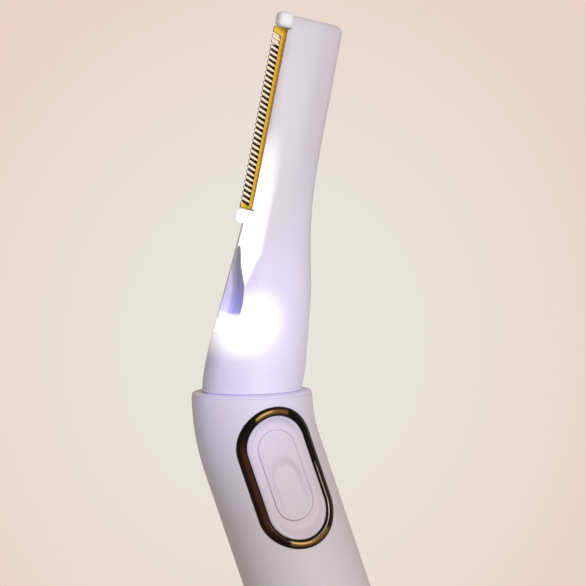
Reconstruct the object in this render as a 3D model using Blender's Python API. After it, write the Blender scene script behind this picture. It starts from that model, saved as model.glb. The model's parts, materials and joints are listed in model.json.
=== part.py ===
"""Lighted electric body shaver: pen-shaped handle, push-on head with a comb blade.

Metres, +Z up. The origin is the middle of the flat end of the battery cap.
-Y is the front, where the switch is. The head leans towards +X and the blade looks towards -X.
"""
from collections import namedtuple
from math import cos, pi, radians, sin, sqrt, tan

import bmesh
import bpy
from mathutils import Matrix, Vector

# Fits between neighbouring pieces
GAP = 0.0003
SEAM = 0.00015
FIT = 0.0001

# How far cutters run past what they cut, and a length that clears the whole shaver
PAST = 0.001
WIDE = 0.03

# Handle tube, bent just under the head
BARREL_RADIUS = 0.0109
BARREL_WALL = 0.0016
ELBOW_HEIGHT = 0.085
ELBOW_RADIUS = 0.033
COLLAR_RUN = 0.0014
COLLAR_TILT = radians(17)
ARM_TILT = radians(31)
RIM_CORNER = 0.0003
CHAMFER = 0.0004

# Battery cap and the AAA cell over it
CAP_HEIGHT = 0.014
CAP_FLOOR = 0.002
CAP_CORNER = 0.0024
CAP_SPIGOT = 0.006
CAP_SPIGOT_WALL = 0.0012
CELL_RADIUS = 0.00525
CELL_LENGTH = 0.0445
CELL_NUB_RADIUS = 0.0019
CELL_NUB_HEIGHT = 0.001
CONTACT_SHEET = 0.0004
CONTACT_WIDTH = 0.0024
CAP_CONTACT_RADIUS = 0.006
PLUS_PAD_RADIUS = 0.0032
TAB_SHORT = 0.0012
SPRING_HEIGHT = 0.0048
SPRING_WIRE = 0.0005
SPRING_TURNS = 4
SEAL_WIRE = 0.0008
CAP_SEAL_RISE = 0.0025

# Inner frame, motor and crank
FRAME_WALL = 0.00105
BULKHEAD = 0.0016
TERMINAL_SPACE = 0.0036
SLEEVE_FOOT = 0.002
RAIL_SHORT = 0.0015
DECK_DROP = 0.00265
MOTOR_BELL = 0.0015
MOTOR_BOSS_RADIUS = 0.0015
MOTOR_BOSS = 0.001
SHAFT_RADIUS = 0.0005
SHAFT_DEPTH = 0.01
CRANK_RADIUS = 0.0023
CRANK_DISC = 0.002
CRANK_THROW = 0.0009
CRANK_PIN_RADIUS = 0.0007
CRANK_PIN_TAPER = 0.0003
PIN_SHORT = 0.0014
CRANK_WEB = 0.0012
CRADLE_WALL = 0.0009

# Circuit board and its switch
BOARD_SHEET = 0.001
BOARD_SPACE = 0.0007
BOARD_EDGE = 0.0007
BOARD_RISE = 0.0058
BOARD_OVER_SWITCH = 0.0025
CHIP_SIDE = 0.004
CHIP_LENGTH = 0.005
CHIP_SHEET = 0.0012
SCREW_RADIUS = 0.0005
SCREW_HEAD_RADIUS = 0.0009
SCREW_HEAD = 0.0005
SCREW_LENGTH = 0.003
SCREW_EDGE = 0.00105
SCREW_OFFSET = 0.004
SWITCH_SIDE = 0.006
SWITCH_BODY = 0.0018
PLUNGER_RADIUS = 0.0016
PLUNGER_PROUD = 0.00125

# Switch ring, dished panel and push button
RING_HALF_WIDTH = 0.00715
RING_HALF_LENGTH = 0.01305
RING_BAND = 0.0016
RING_PROUD = 0.0005
RING_FOOT = 0.00095
RING_DROP = 0.01525
PANEL_DROP = 0.0016
PANEL_SHEET = 0.0012
PANEL_FLAT = 0.0009
PANEL_DISH = 0.0018
PANEL_RIM = 0.0005
SEAT_CUT_OVER = 0.002
SEAT_CUT_BACK = 0.004
BUTTON_HALF_WIDTH = 0.00352
BUTTON_HALF_LENGTH = 0.0084
BUTTON_DROP = 0.0145
BUTTON_PROUD = 0.0002
BUTTON_TRAVEL = 0.0008
BUTTON_FLANGE = 0.0005
BUTTON_FLANGE_SHEET = 0.0007
THUMB_HALF_WIDTH = 0.0026
THUMB_TOP = 0.0023
THUMB_DEPTH = 0.0005

# Socket in the collar and the spigot of the head
SOCKET_RADIUS = 0.009
SOCKET_WALL = 0.0009
SOCKET_DEPTH = 0.0042
FLANGE_SHEET = 0.001
FLANGE_EDGE = 0.00045
HEAD_BASE_RADIUS = 0.009
SPIGOT_LENGTH = 0.0042
SPIGOT_FIT = 0.0002
SPIGOT_WALL = 0.001
SPIGOT_RISE = 0.002
SPIGOT_SEAL_RISE = 0.0018
HEAD_WALL = 0.0011
HOLLOW_DROP = 0.002

# Arm of the head, its blade and what drives it, measured along the arm from the collar
ARM_LEFT = 0.0073
ARM_RIGHT = 0.0039
ARM_TOP = 0.0682
ARM_CORNER = 0.0014
BLADE_BOTTOM = 0.0329
BLADE_TOP = 0.0656
BLADE_TIP = 0.0093
BLADE_STRIP = 0.00775
BLADE_ROOT = 0.0028
BLADE_FRONT = 0.00175
COMB_SHEET = 0.0004
CUTTER_SHEET = 0.00035
TOOTH_PITCH = 0.00098
TOOTH_COUNT = 31
TOOTH_SLOT = 0.00042
TOOTH_SLANT = radians(21)
TOOTH_START = 0.0006
CUTTER_SHORT = 0.0005
CUTTER_INSET = 0.0003
BLOCK_PROUD = 0.0097
LOWER_BLOCK = 0.0023
UPPER_BLOCK = 0.003
BLOCK_ROUND = 0.0005
BLOCK_OVER_COMB = 0.0005
BLOCK_BACK = 0.0006
UPPER_BACK = 0.0018
FRAME_BAR = 0.0012
CARRIER_WIDTH = 0.0018
CARRIER_DEPTH = 0.0012
CARRIER_SPACE = 0.0002
CARRIER_SHORT = 0.0011
TAIL_INSET = 0.0006
TAIL_SHEET = 0.0007
TAIL_KNEE = 0.0095
TAIL_STEP = 0.0033
TAIL_WIDTH = 0.0018
LEVER_HEIGHT = 0.014
LEVER_PIVOT = 0.0034
LEVER_TIP = 0.002
LEVER_SHEET = 0.0012
LEVER_TIP_RADIUS = 0.001
LEVER_BOSS_RADIUS = 0.0019
LEVER_PIN_RADIUS = 0.0008
LEVER_PIN_GRIP = 0.0014
LEVER_PIN_HEAD_RADIUS = 0.0014
LEVER_PIN_HEAD = 0.0008
LEVER_ARM_RADIUS = 0.0012
SHORT_ARM_RADIUS = 0.0008
FORK_DROP = 0.0012
FORK_REACH = 0.0015
FORK_WIDTH = 0.003
FORK_PRONG = 0.0011
LEAF_SHEET = 0.00016
LEAF_BOW = 0.00035
LEAF_HALF_LENGTH = 0.008
LEAF_INSET = 0.0006

# Light in the neck: lamp, clear lens and the trough that it shines up
TROUGH_FLOOR = 0.012
TROUGH_SIDE = 0.0059
TROUGH_BACK = 0.0004
TROUGH_ROUND = 0.0012
TROUGH_EDGE = ((0.0002, 0), (0, 0.0067), (0.0003, 0.0089), (0.001, 0.0119), (0.0016, 0.0146))
LENS_DEPTH = 0.0024
LENS_INSET = 0.0009
LAMP_RADIUS = 0.0015
LAMP_FLANGE_RADIUS = 0.0019
LAMP_SIDE = 0.00325
LAMP_FLANGE_SPACE = 0.0006
LAMP_FLANGE = 0.001
LAMP_BASE = 0.0059
LAMP_BODY = 0.0025
POST_SIDE = 0.0025
POST_DEPTH = 0.002
POST_DROP = 0.0015
WIRE_RADIUS = 0.0004
LEAD_RISE = 0.003
LEAD_SIDE = 0.003
LEAD_BEND = 0.0018
LEAD_SAG = 0.0006

ROUND = 40
INNER_ROUND = 24
HOLLOW_ROUND = 20
DISH_STEPS = 5
DISH_INSET = 0.4
SMALL_ROUND = 12
HEAD_ROUND = 36
STADIUM_ROUND = 14

Joint = namedtuple("Joint", "empty matrix")


def clear_scene():
    for obj in list(bpy.data.objects):
        bpy.data.objects.remove(obj, do_unlink=True)


def material(name, color, roughness, metallic=0.0, transmission=0.0):
    made = bpy.data.materials.new(name)
    made.use_nodes = True
    shader = made.node_tree.nodes["Principled BSDF"]
    shader.inputs["Base Color"].default_value = (*color, 1.0)
    shader.inputs["Roughness"].default_value = roughness
    shader.inputs["Metallic"].default_value = metallic
    shader.inputs["Transmission Weight"].default_value = transmission
    return made


def joint(name, matrix, parent=None):
    """An empty on a joint's axis. What moves there is drawn in any frame and parented to it."""
    empty = bpy.data.objects.new(name, None)
    empty.empty_display_size = 0.005
    bpy.context.scene.collection.objects.link(empty)
    if parent:
        empty.parent = parent.empty
        empty.matrix_basis = parent.matrix.inverted() @ matrix
    else:
        empty.matrix_basis = matrix
    return Joint(empty, matrix)


def add(name, bm, finish, carrier, frame=Matrix.Identity(4), sharp=35):
    """Makes an object from a bmesh drawn in the given frame, and parents it to its carrier."""
    bmesh.ops.transform(bm, matrix=carrier.matrix.inverted() @ frame, verts=bm.verts)
    bmesh.ops.recalc_face_normals(bm, faces=bm.faces)
    mesh = bpy.data.meshes.new(name)
    bm.to_mesh(mesh)
    bm.free()
    mesh.shade_smooth()
    mesh.set_sharp_from_angle(angle=radians(sharp))
    obj = bpy.data.objects.new(name, mesh)
    bpy.context.scene.collection.objects.link(obj)
    obj.parent = carrier.empty
    if finish:
        mesh.materials.append(finish)
    return obj


def tool(name, bm, carrier, frame=Matrix.Identity(4)):
    """A shape that is only cut from others, or joined to them."""
    obj = add(name, bm, None, carrier, frame)
    obj.hide_render = True
    obj.display_type = "WIRE"
    return obj


def combine(obj, operation, *tools):
    for other in tools:
        modifier = obj.modifiers.new(other.name, "BOOLEAN")
        modifier.operation = operation
        modifier.solver = "EXACT"
        modifier.object = other
    return obj


def cut(obj, *tools):
    return combine(obj, "DIFFERENCE", *tools)


def join(obj, *tools):
    return combine(obj, "UNION", *tools)


def keep(obj, *tools):
    return combine(obj, "INTERSECT", *tools)


def soften(obj, width, segments=2, angle=40):
    modifier = obj.modifiers.new("rounded_edges", "BEVEL")
    modifier.width = width
    modifier.segments = segments
    modifier.limit_method = "ANGLE"
    modifier.angle_limit = radians(angle)
    return obj


def skin(rings, closed=False):
    """A solid through rings of equally many points, capped at its ends unless it closes on itself."""
    bm = bmesh.new()
    rows = [[bm.verts.new(point) for point in ring] for ring in rings]
    pairs = list(zip(rows, rows[1:]))
    if closed:
        pairs.append((rows[-1], rows[0]))
    for low, high in pairs:
        count = len(low)
        for i in range(count):
            after = (i + 1) % count
            bm.faces.new((low[i], low[after], high[after], high[i]))
    if not closed:
        bm.faces.new(rows[0][::-1])
        bm.faces.new(rows[-1])
    return bm


def circle(radius, height, steps=ROUND, middle=(0, 0)):
    turns = [2 * pi * i / steps for i in range(steps)]
    return [(middle[0] + radius * cos(a), middle[1] + radius * sin(a), height) for a in turns]


def turned(profile, hollow=False, steps=ROUND, middle=(0, 0)):
    """A body turned about Z from (radius, height) pairs. A hollow profile is a closed loop."""
    return skin([circle(radius, height, steps, middle) for radius, height in profile], hollow)


def across(profile, middle, hollow=False, steps=SMALL_ROUND):
    """A body turned about an axis along +Y at middle (x, z), from (radius, y) pairs."""
    rings = []
    for radius, y in profile:
        ring = circle(radius, y, steps, middle)
        rings.append([(x, depth, z) for x, z, depth in ring])
    return skin(rings, hollow)


def rod(radius, front, back, middle):
    return across([(radius, front), (radius, back)], middle)


def box(low, high):
    bm = bmesh.new()
    bmesh.ops.create_cube(bm, size=1)
    size = [b - a for a, b in zip(low, high)]
    middle = [(a + b) / 2 for a, b in zip(low, high)]
    bmesh.ops.scale(bm, vec=size, verts=bm.verts)
    bmesh.ops.translate(bm, vec=middle, verts=bm.verts)
    return bm


def prism(outline, front, back):
    """An (x, z) outline extruded along Y."""
    return skin([[(x, y, z) for x, z in outline] for y in (front, back)])


def folded(path, sheet):
    """The outline of a sheet bent along a path: the path is its one side, and its left the other."""
    points = [Vector(point) for point in path]
    ways = [(b - a).normalized() for a, b in zip(points, points[1:])]
    sides = [Vector((-way.y, way.x)) for way in ways]
    corners = []
    for i, point in enumerate(points):
        before = sides[max(i - 1, 0)]
        after = sides[min(i, len(sides) - 1)]
        corners.append(point + (before + after) * sheet / (1 + before.dot(after)))
    return [tuple(point) for point in points + corners[::-1]]


def side_prism(outline, left, right):
    """A (y, z) outline extruded along X."""
    return skin([[(x, y, z) for y, z in outline] for x in (left, right)])


def stadium(half_width, half_length, steps=STADIUM_ROUND):
    """A round-ended outline, long along z, with its middle at the origin."""
    run = half_length - half_width
    outline = []
    for end in (1, -1):
        for i in range(steps + 1):
            turn = pi * i / steps
            outline.append((end * half_width * cos(turn), end * (half_width * sin(turn) + run)))
    return outline


def bar(start, end, radius, steps=10):
    """A round-ended outline around the line from start to end, both (x, z)."""
    along = Vector(end) - Vector(start)
    heading = Vector((1, 0)).angle_signed(along.normalized(), 0.0) * -1
    outline = []
    for middle, first in ((end, heading - pi / 2), (start, heading + pi / 2)):
        for i in range(steps + 1):
            turn = first + pi * i / steps
            outline.append((middle[0] + radius * cos(turn), middle[1] + radius * sin(turn)))
    return outline


def wire(name, points, radius, finish, carrier):
    """A lead as a smooth tube through a few points, in the handle's frame."""
    curve = bpy.data.curves.new(name, "CURVE")
    curve.dimensions = "3D"
    curve.bevel_depth = radius
    curve.bevel_resolution = 2
    curve.use_fill_caps = True
    spline = curve.splines.new("POLY")
    path = smooth_path([Vector(point) for point in points], 5)
    spline.points.add(len(path) - 1)
    for target, point in zip(spline.points, path):
        target.co = (*point, 1.0)
    curve.materials.append(finish)
    obj = bpy.data.objects.new(name, curve)
    bpy.context.scene.collection.objects.link(obj)
    obj.parent = carrier.empty
    return obj


def smooth_path(stations, steps):
    """Catmull-Rom points through vectors of any length, the stations included."""
    ends = [2 * stations[0] - stations[1], *stations, 2 * stations[-1] - stations[-2]]
    path = []
    for before, start, end, after in zip(ends, ends[1:], ends[2:], ends[3:]):
        for i in range(steps):
            t = i / steps
            linear = (end - before) * t
            square = (2 * before - 5 * start + 4 * end - after) * t ** 2
            cube = (3 * start - before - 3 * end + after) * t ** 3
            path.append(start + (linear + square + cube) / 2)
    path.append(stations[-1])
    return path


# Frames worked out from the driving sizes
elbow_end = Vector((ELBOW_RADIUS * (1 - cos(COLLAR_TILT)), 0, ELBOW_RADIUS * sin(COLLAR_TILT)))
collar_middle = Vector((0, 0, ELBOW_HEIGHT)) + elbow_end
collar_middle += COLLAR_RUN * Vector((sin(COLLAR_TILT), 0, cos(COLLAR_TILT)))
HANDLE = Matrix.Identity(4)
COLLAR = Matrix.Translation(collar_middle) @ Matrix.Rotation(COLLAR_TILT, 4, "Y")
ARM = Matrix.Translation(collar_middle) @ Matrix.Rotation(ARM_TILT, 4, "Y")


def along_spine(depth):
    """The handle's section plane at a distance under the collar, round the elbow and down."""
    bend = ELBOW_RADIUS * COLLAR_TILT
    if depth <= COLLAR_RUN:
        return COLLAR @ Matrix.Translation((0, 0, -depth))
    if depth < COLLAR_RUN + bend:
        angle = COLLAR_TILT - (depth - COLLAR_RUN) / ELBOW_RADIUS
        reach = Vector((ELBOW_RADIUS * (1 - cos(angle)), 0, ELBOW_HEIGHT + ELBOW_RADIUS * sin(angle)))
        return Matrix.Translation(reach) @ Matrix.Rotation(angle, 4, "Y")
    return Matrix.Translation((0, 0, ELBOW_HEIGHT - (depth - COLLAR_RUN - bend)))


def spine_rings(radius, depths):
    return [[along_spine(depth) @ Vector(point) for point in circle(radius, 0)] for depth in depths]


def spine_depths(top, bottom_height, bends=6):
    """Distances under the collar of a tube's rings, from its top end down to a height."""
    bend = ELBOW_RADIUS * COLLAR_TILT
    first = COLLAR_RUN + bend
    middle = [top + (first - top) * i / bends for i in range(bends + 1)]
    return middle + [first + ELBOW_HEIGHT - bottom_height]


def surface_point(x, height, radius):
    """The front point of the handle's surface, grown to a radius, over an (x, height) spot."""
    side = x
    if height > ELBOW_HEIGHT:
        side = ELBOW_RADIUS - sqrt((ELBOW_RADIUS - x) ** 2 + (height - ELBOW_HEIGHT) ** 2)
    return (x, -sqrt(radius ** 2 - side ** 2), height)


# Heights worked out by stacking
barrel_inner = BARREL_RADIUS - BARREL_WALL
barrel_end = FLANGE_SHEET + 2 * SEAM
cell_bottom = CAP_FLOOR + CONTACT_SHEET + SPRING_HEIGHT + 3 * GAP
cell_top = cell_bottom + CELL_LENGTH
bulkhead_bottom = cell_top + CONTACT_SHEET + 2 * GAP
bulkhead_top = bulkhead_bottom + BULKHEAD
bell_bottom = bulkhead_top + TERMINAL_SPACE
can_bottom = bell_bottom + MOTOR_BELL + SEAM
deck_top = ELBOW_HEIGHT - DECK_DROP
deck_bottom = deck_top - BULKHEAD
can_top = deck_bottom - GAP
crank_bottom = deck_top + 2 * GAP
fork_middle = collar_middle.z - FORK_DROP
fork_bottom = fork_middle - FORK_REACH
ring_height = collar_middle.z - RING_DROP
button_height = collar_middle.z - BUTTON_DROP
board_bottom = bulkhead_top + BOARD_RISE
board_top = button_height + SWITCH_SIDE / 2 + BOARD_OVER_SWITCH

# Depths worked out from the front of the handle inwards. The motor fills what is left
strip_front = barrel_inner - 2 * CAP_SPIGOT_WALL + 2 * FIT
window_size = (RING_HALF_WIDTH - RING_BAND - PANEL_RIM, RING_HALF_LENGTH - RING_BAND - PANEL_RIM)
panel_floor = BARREL_RADIUS - PANEL_DROP
button_face = panel_floor + BUTTON_PROUD
flange_front = panel_floor - PANEL_SHEET - SEAM
button_back = flange_front - BUTTON_FLANGE_SHEET
plunger_front = button_back - SEAM
switch_front = plunger_front - PLUNGER_PROUD
board_front = switch_front - SWITCH_BODY - SEAM
frame_radius = barrel_inner - GAP
board_half_width = sqrt(frame_radius ** 2 - board_front ** 2) - BOARD_EDGE
motor_front = board_front - BOARD_SHEET - BOARD_SPACE
motor_back = frame_radius - CRADLE_WALL - 3 * FIT
motor_radius = (motor_front + motor_back) / 2
motor_offset = (motor_back - motor_front) / 2
plus_side = board_half_width - CONTACT_SHEET
plus_front = -board_front - FIT

# Socket, blade and carrier
spigot_radius = SOCKET_RADIUS - SOCKET_WALL - SPIGOT_FIT
post_front = board_front - POST_DROP
lamp_front = post_front - LAMP_FLANGE_SPACE
block_front = BLADE_FRONT + BLOCK_OVER_COMB
upper_right = -(ARM_LEFT - HEAD_WALL) - SEAM
bar_top = ARM_TOP - ARM_CORNER - GAP
carrier_left = ARM_LEFT - HEAD_WALL - CARRIER_SPACE
carrier_right = carrier_left - CARRIER_WIDTH
cutter_front = -BLADE_FRONT + COMB_SHEET + SEAM
carrier_front = cutter_front + CUTTER_SHEET + SEAM
carrier_back = carrier_front + CARRIER_DEPTH
tail_front = BLOCK_BACK + GAP
tail_left = carrier_right + TAIL_INSET
tail_right = tail_left - TAIL_WIDTH
lever_front = motor_offset - LEVER_SHEET / 2

# Joints
clear_scene()
handle = joint("handle_frame", HANDLE)
rotor = joint("rotor_axis", Matrix.Translation((0, motor_offset, crank_bottom)), handle)
button = joint("button_axis", Matrix.Translation((0, -button_face, button_height)), handle)
plunger = joint("plunger_axis", Matrix.Translation((0, -plunger_front, button_height)), handle)
cap = joint("cap_axis", Matrix.Translation((0, 0, CAP_HEIGHT)), handle)
head = joint("head_axis", COLLAR, handle)
lever_at = Matrix.Translation((LEVER_PIVOT, motor_offset, LEVER_HEIGHT))
lever = joint("lever_axis", ARM @ lever_at, head)
cutter_at = Matrix.Translation((-ARM_LEFT, -BLADE_FRONT, BLADE_BOTTOM))
cutter = joint("cutter_axis", ARM @ cutter_at, head)

# Finishes
white_plastic = material("white_plastic", (0.80, 0.77, 0.80), 0.22)
panel_plastic = material("panel_plastic", (0.74, 0.68, 0.72), 0.3)
inner_plastic = material("inner_plastic", (0.62, 0.63, 0.66), 0.45)
bronze_plating = material("bronze_plating", (0.42, 0.24, 0.08), 0.16, 1.0)
gold_plating = material("gold_plating", (0.80, 0.52, 0.14), 0.24, 1.0)
black_steel = material("black_steel", (0.02, 0.018, 0.016), 0.4, 0.6)
bright_steel = material("bright_steel", (0.62, 0.62, 0.64), 0.25, 1.0)
clear_plastic = material("clear_plastic", (0.95, 0.96, 1.0), 0.05, 0.0, 0.9)
seal_rubber = material("seal_rubber", (0.03, 0.03, 0.035), 0.7)
board_green = material("board_green", (0.02, 0.16, 0.07), 0.5)
cell_sleeve = material("cell_sleeve", (0.08, 0.2, 0.42), 0.35)
lead_red = material("lead_red", (0.5, 0.03, 0.02), 0.5)


def stadium_prism(half_width, half_length, height, front, back):
    outline = [(x, z + height) for x, z in stadium(half_width, half_length)]
    return prism(outline, -front, -back)


def barrel():
    """One seamless tube round the elbow, open at both ends, with a seat for the switch ring."""
    bottom = CAP_HEIGHT + SEAM
    outer = spine_depths(barrel_end, bottom)
    edge = [barrel_end, barrel_end + RIM_CORNER, *outer[1:]]
    rings = spine_rings(BARREL_RADIUS, edge)
    rings[0] = spine_rings(BARREL_RADIUS - RIM_CORNER, edge[:1])[0]
    inner = spine_rings(barrel_inner, outer)
    tube = add("barrel", skin(rings + inner[::-1], closed=True), white_plastic, handle)
    bore = turned([(SOCKET_RADIUS + SEAM, -SOCKET_DEPTH - GAP), (SOCKET_RADIUS + SEAM, GAP)])
    front = BARREL_RADIUS + SEAT_CUT_OVER
    seat = stadium_prism(RING_HALF_WIDTH + SEAM, RING_HALF_LENGTH + SEAM, ring_height, front, SEAT_CUT_BACK)
    seat = tool("switch_seat_cut", seat, handle)
    floor_radius = BARREL_RADIUS - RING_FOOT - SEAM
    floor = skin(spine_rings(floor_radius, spine_depths(barrel_end, bottom)))
    cut(seat, tool("switch_seat_floor", floor, handle))
    window = stadium_prism(*window_size, ring_height, front, SEAT_CUT_BACK)
    cut(tube, tool("socket_bore", bore, handle, COLLAR), seat, tool("switch_window", window, handle))
    return tube


def switch_ring():
    """A half-round plated bead that follows the curve of the handle."""
    half = RING_BAND / 2
    dome = [radians(angle) for angle in (0, 45, 90, 135, 180)]
    profile = [(half * cos(a), RING_PROUD * sin(a)) for a in dome]
    profile += [(-half, -RING_FOOT), (half, -RING_FOOT)]
    rings = []
    for offset, rise in profile:
        width = RING_HALF_WIDTH - half + offset
        length = RING_HALF_LENGTH - half + offset
        outline = stadium(width, length)
        rings.append([surface_point(x, z + ring_height, BARREL_RADIUS + rise) for x, z in outline])
    add("switch_ring", skin(rings, closed=True), bronze_plating, handle)


def switch_panel():
    """The dished inlay inside the ring: a rim on the seat, a flat floor and the button's opening."""
    half_width = RING_HALF_WIDTH - RING_BAND - SEAM
    half_length = RING_HALF_LENGTH - RING_BAND - SEAM
    plug = [size - SEAM for size in window_size]
    hole = (BUTTON_HALF_WIDTH + SEAM, BUTTON_HALF_LENGTH + SEAM)
    back = panel_floor - PANEL_SHEET

    def ring(size, height, radius=None, depth=0.0):
        """One loop of the panel, on the handle's surface at a radius or flat, whichever lies deeper."""
        loop = []
        for x, z in stadium(*size):
            x, y, z = surface_point(x, z + height, radius) if radius else (x, -depth, z + height)
            loop.append((x, max(y, -depth) if depth else y, z))
        return loop

    rim_back = BARREL_RADIUS - RING_FOOT
    face = BARREL_RADIUS - FIT
    rings = [ring((half_width, half_length), ring_height, rim_back),
             ring((half_width, half_length), ring_height, face)]
    floor = (BUTTON_HALF_WIDTH + PANEL_FLAT, BUTTON_HALF_LENGTH + PANEL_FLAT)
    for i in range(DISH_STEPS, -1, -1):
        share = i / (DISH_STEPS + DISH_INSET)
        size = [low + share * (high - low) for low, high in zip(floor, (half_width, half_length))]
        height = button_height + share * (ring_height - button_height)
        rings.append(ring(size, height, face, panel_floor + PANEL_DISH * share ** 2))
    # Behind the sloping ends the back comes forward too, clear of the socket.
    rings += [ring(hole, button_height, None, panel_floor), ring(hole, button_height, None, back),
              ring(floor, button_height, None, back),
              ring(plug, ring_height, rim_back - PANEL_RIM, back + PANEL_DISH / 2),
              ring(plug, ring_height, rim_back)]
    add("switch_panel", skin(rings, closed=True), panel_plastic, handle)


def power_button():
    """The push button: a stadium pad with a thumb hollow, and a flange that keeps it in."""
    pad = stadium_prism(BUTTON_HALF_WIDTH, BUTTON_HALF_LENGTH, button_height, button_face, button_back)
    pad = add("power_button", pad, panel_plastic, button)
    flange = stadium_prism(BUTTON_HALF_WIDTH + BUTTON_FLANGE, BUTTON_HALF_LENGTH + BUTTON_FLANGE,
                           button_height, flange_front, button_back)
    # The hollow deepens from the pad's lower end up to a round edge
    run = BUTTON_HALF_LENGTH + THUMB_TOP
    slope = Matrix.Translation((0, -button_face, button_height - BUTTON_HALF_LENGTH))
    slope = slope @ Matrix.Rotation(-THUMB_DEPTH / run, 4, "X")
    arch = [radians(15 * i) for i in range(13)]
    outline = [(THUMB_HALF_WIDTH * cos(a), run - THUMB_HALF_WIDTH * (1 - sin(a))) for a in arch]
    outline += [(-THUMB_HALF_WIDTH, GAP), (THUMB_HALF_WIDTH, GAP)]
    thumb = prism(outline, -BUTTON_FLANGE_SHEET, 0)
    join(pad, tool("button_flange", flange, button))
    cut(pad, tool("button_thumb", thumb, button, slope))
    tip = rod(PLUNGER_RADIUS, -plunger_front, -board_front - SEAM - BUTTON_TRAVEL - GAP, (0, button_height))
    add("switch_plunger", tip, seal_rubber, plunger)


def screw_spots():
    """Side, x and height of each screw through the board."""
    spot = board_half_width - SCREW_EDGE
    middle = (board_bottom + board_top) / 2
    return ("left", -spot, middle + SCREW_OFFSET), ("right", spot, middle - SCREW_OFFSET)


def circuit_board():
    """The board with its chip, its switch and the screws that hold it."""
    back = board_front - BOARD_SHEET
    board = add("circuit_board", box((-board_half_width, -board_front, board_bottom),
                                     (board_half_width, -back, board_top)), board_green, handle)
    chip_top = button_height - SWITCH_SIDE / 2 - CHIP_SIDE / 2
    chip = box((-CHIP_SIDE / 2, -board_front - CHIP_SHEET, chip_top - CHIP_LENGTH),
               (CHIP_SIDE / 2, -board_front + FIT, chip_top))
    join(board, tool("board_chip", chip, handle))
    side = SWITCH_SIDE / 2
    body = add("switch_body", box((-side, -switch_front, button_height - side),
                                  (side, -board_front - SEAM, button_height + side)), seal_rubber, handle)
    pocket = rod(PLUNGER_RADIUS + SEAM, -switch_front - PAST, -board_front - SEAM - FIT, (0, button_height))
    cut(body, tool("switch_pocket", pocket, handle))
    for side_name, x, z in screw_spots():
        name = "board_screw_" + side_name
        hole = rod(SCREW_RADIUS + FIT, -board_front - PAST, -back + PAST, (x, z))
        cut(board, tool(name + "_hole", hole, handle))
        head_back = -board_front - SEAM
        profile = [(SCREW_HEAD_RADIUS, head_back - SCREW_HEAD), (SCREW_HEAD_RADIUS, head_back),
                   (SCREW_RADIUS, head_back), (SCREW_RADIUS, head_back + SCREW_LENGTH)]
        add(name, across(profile, (x, z)), bright_steel, handle)


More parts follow.
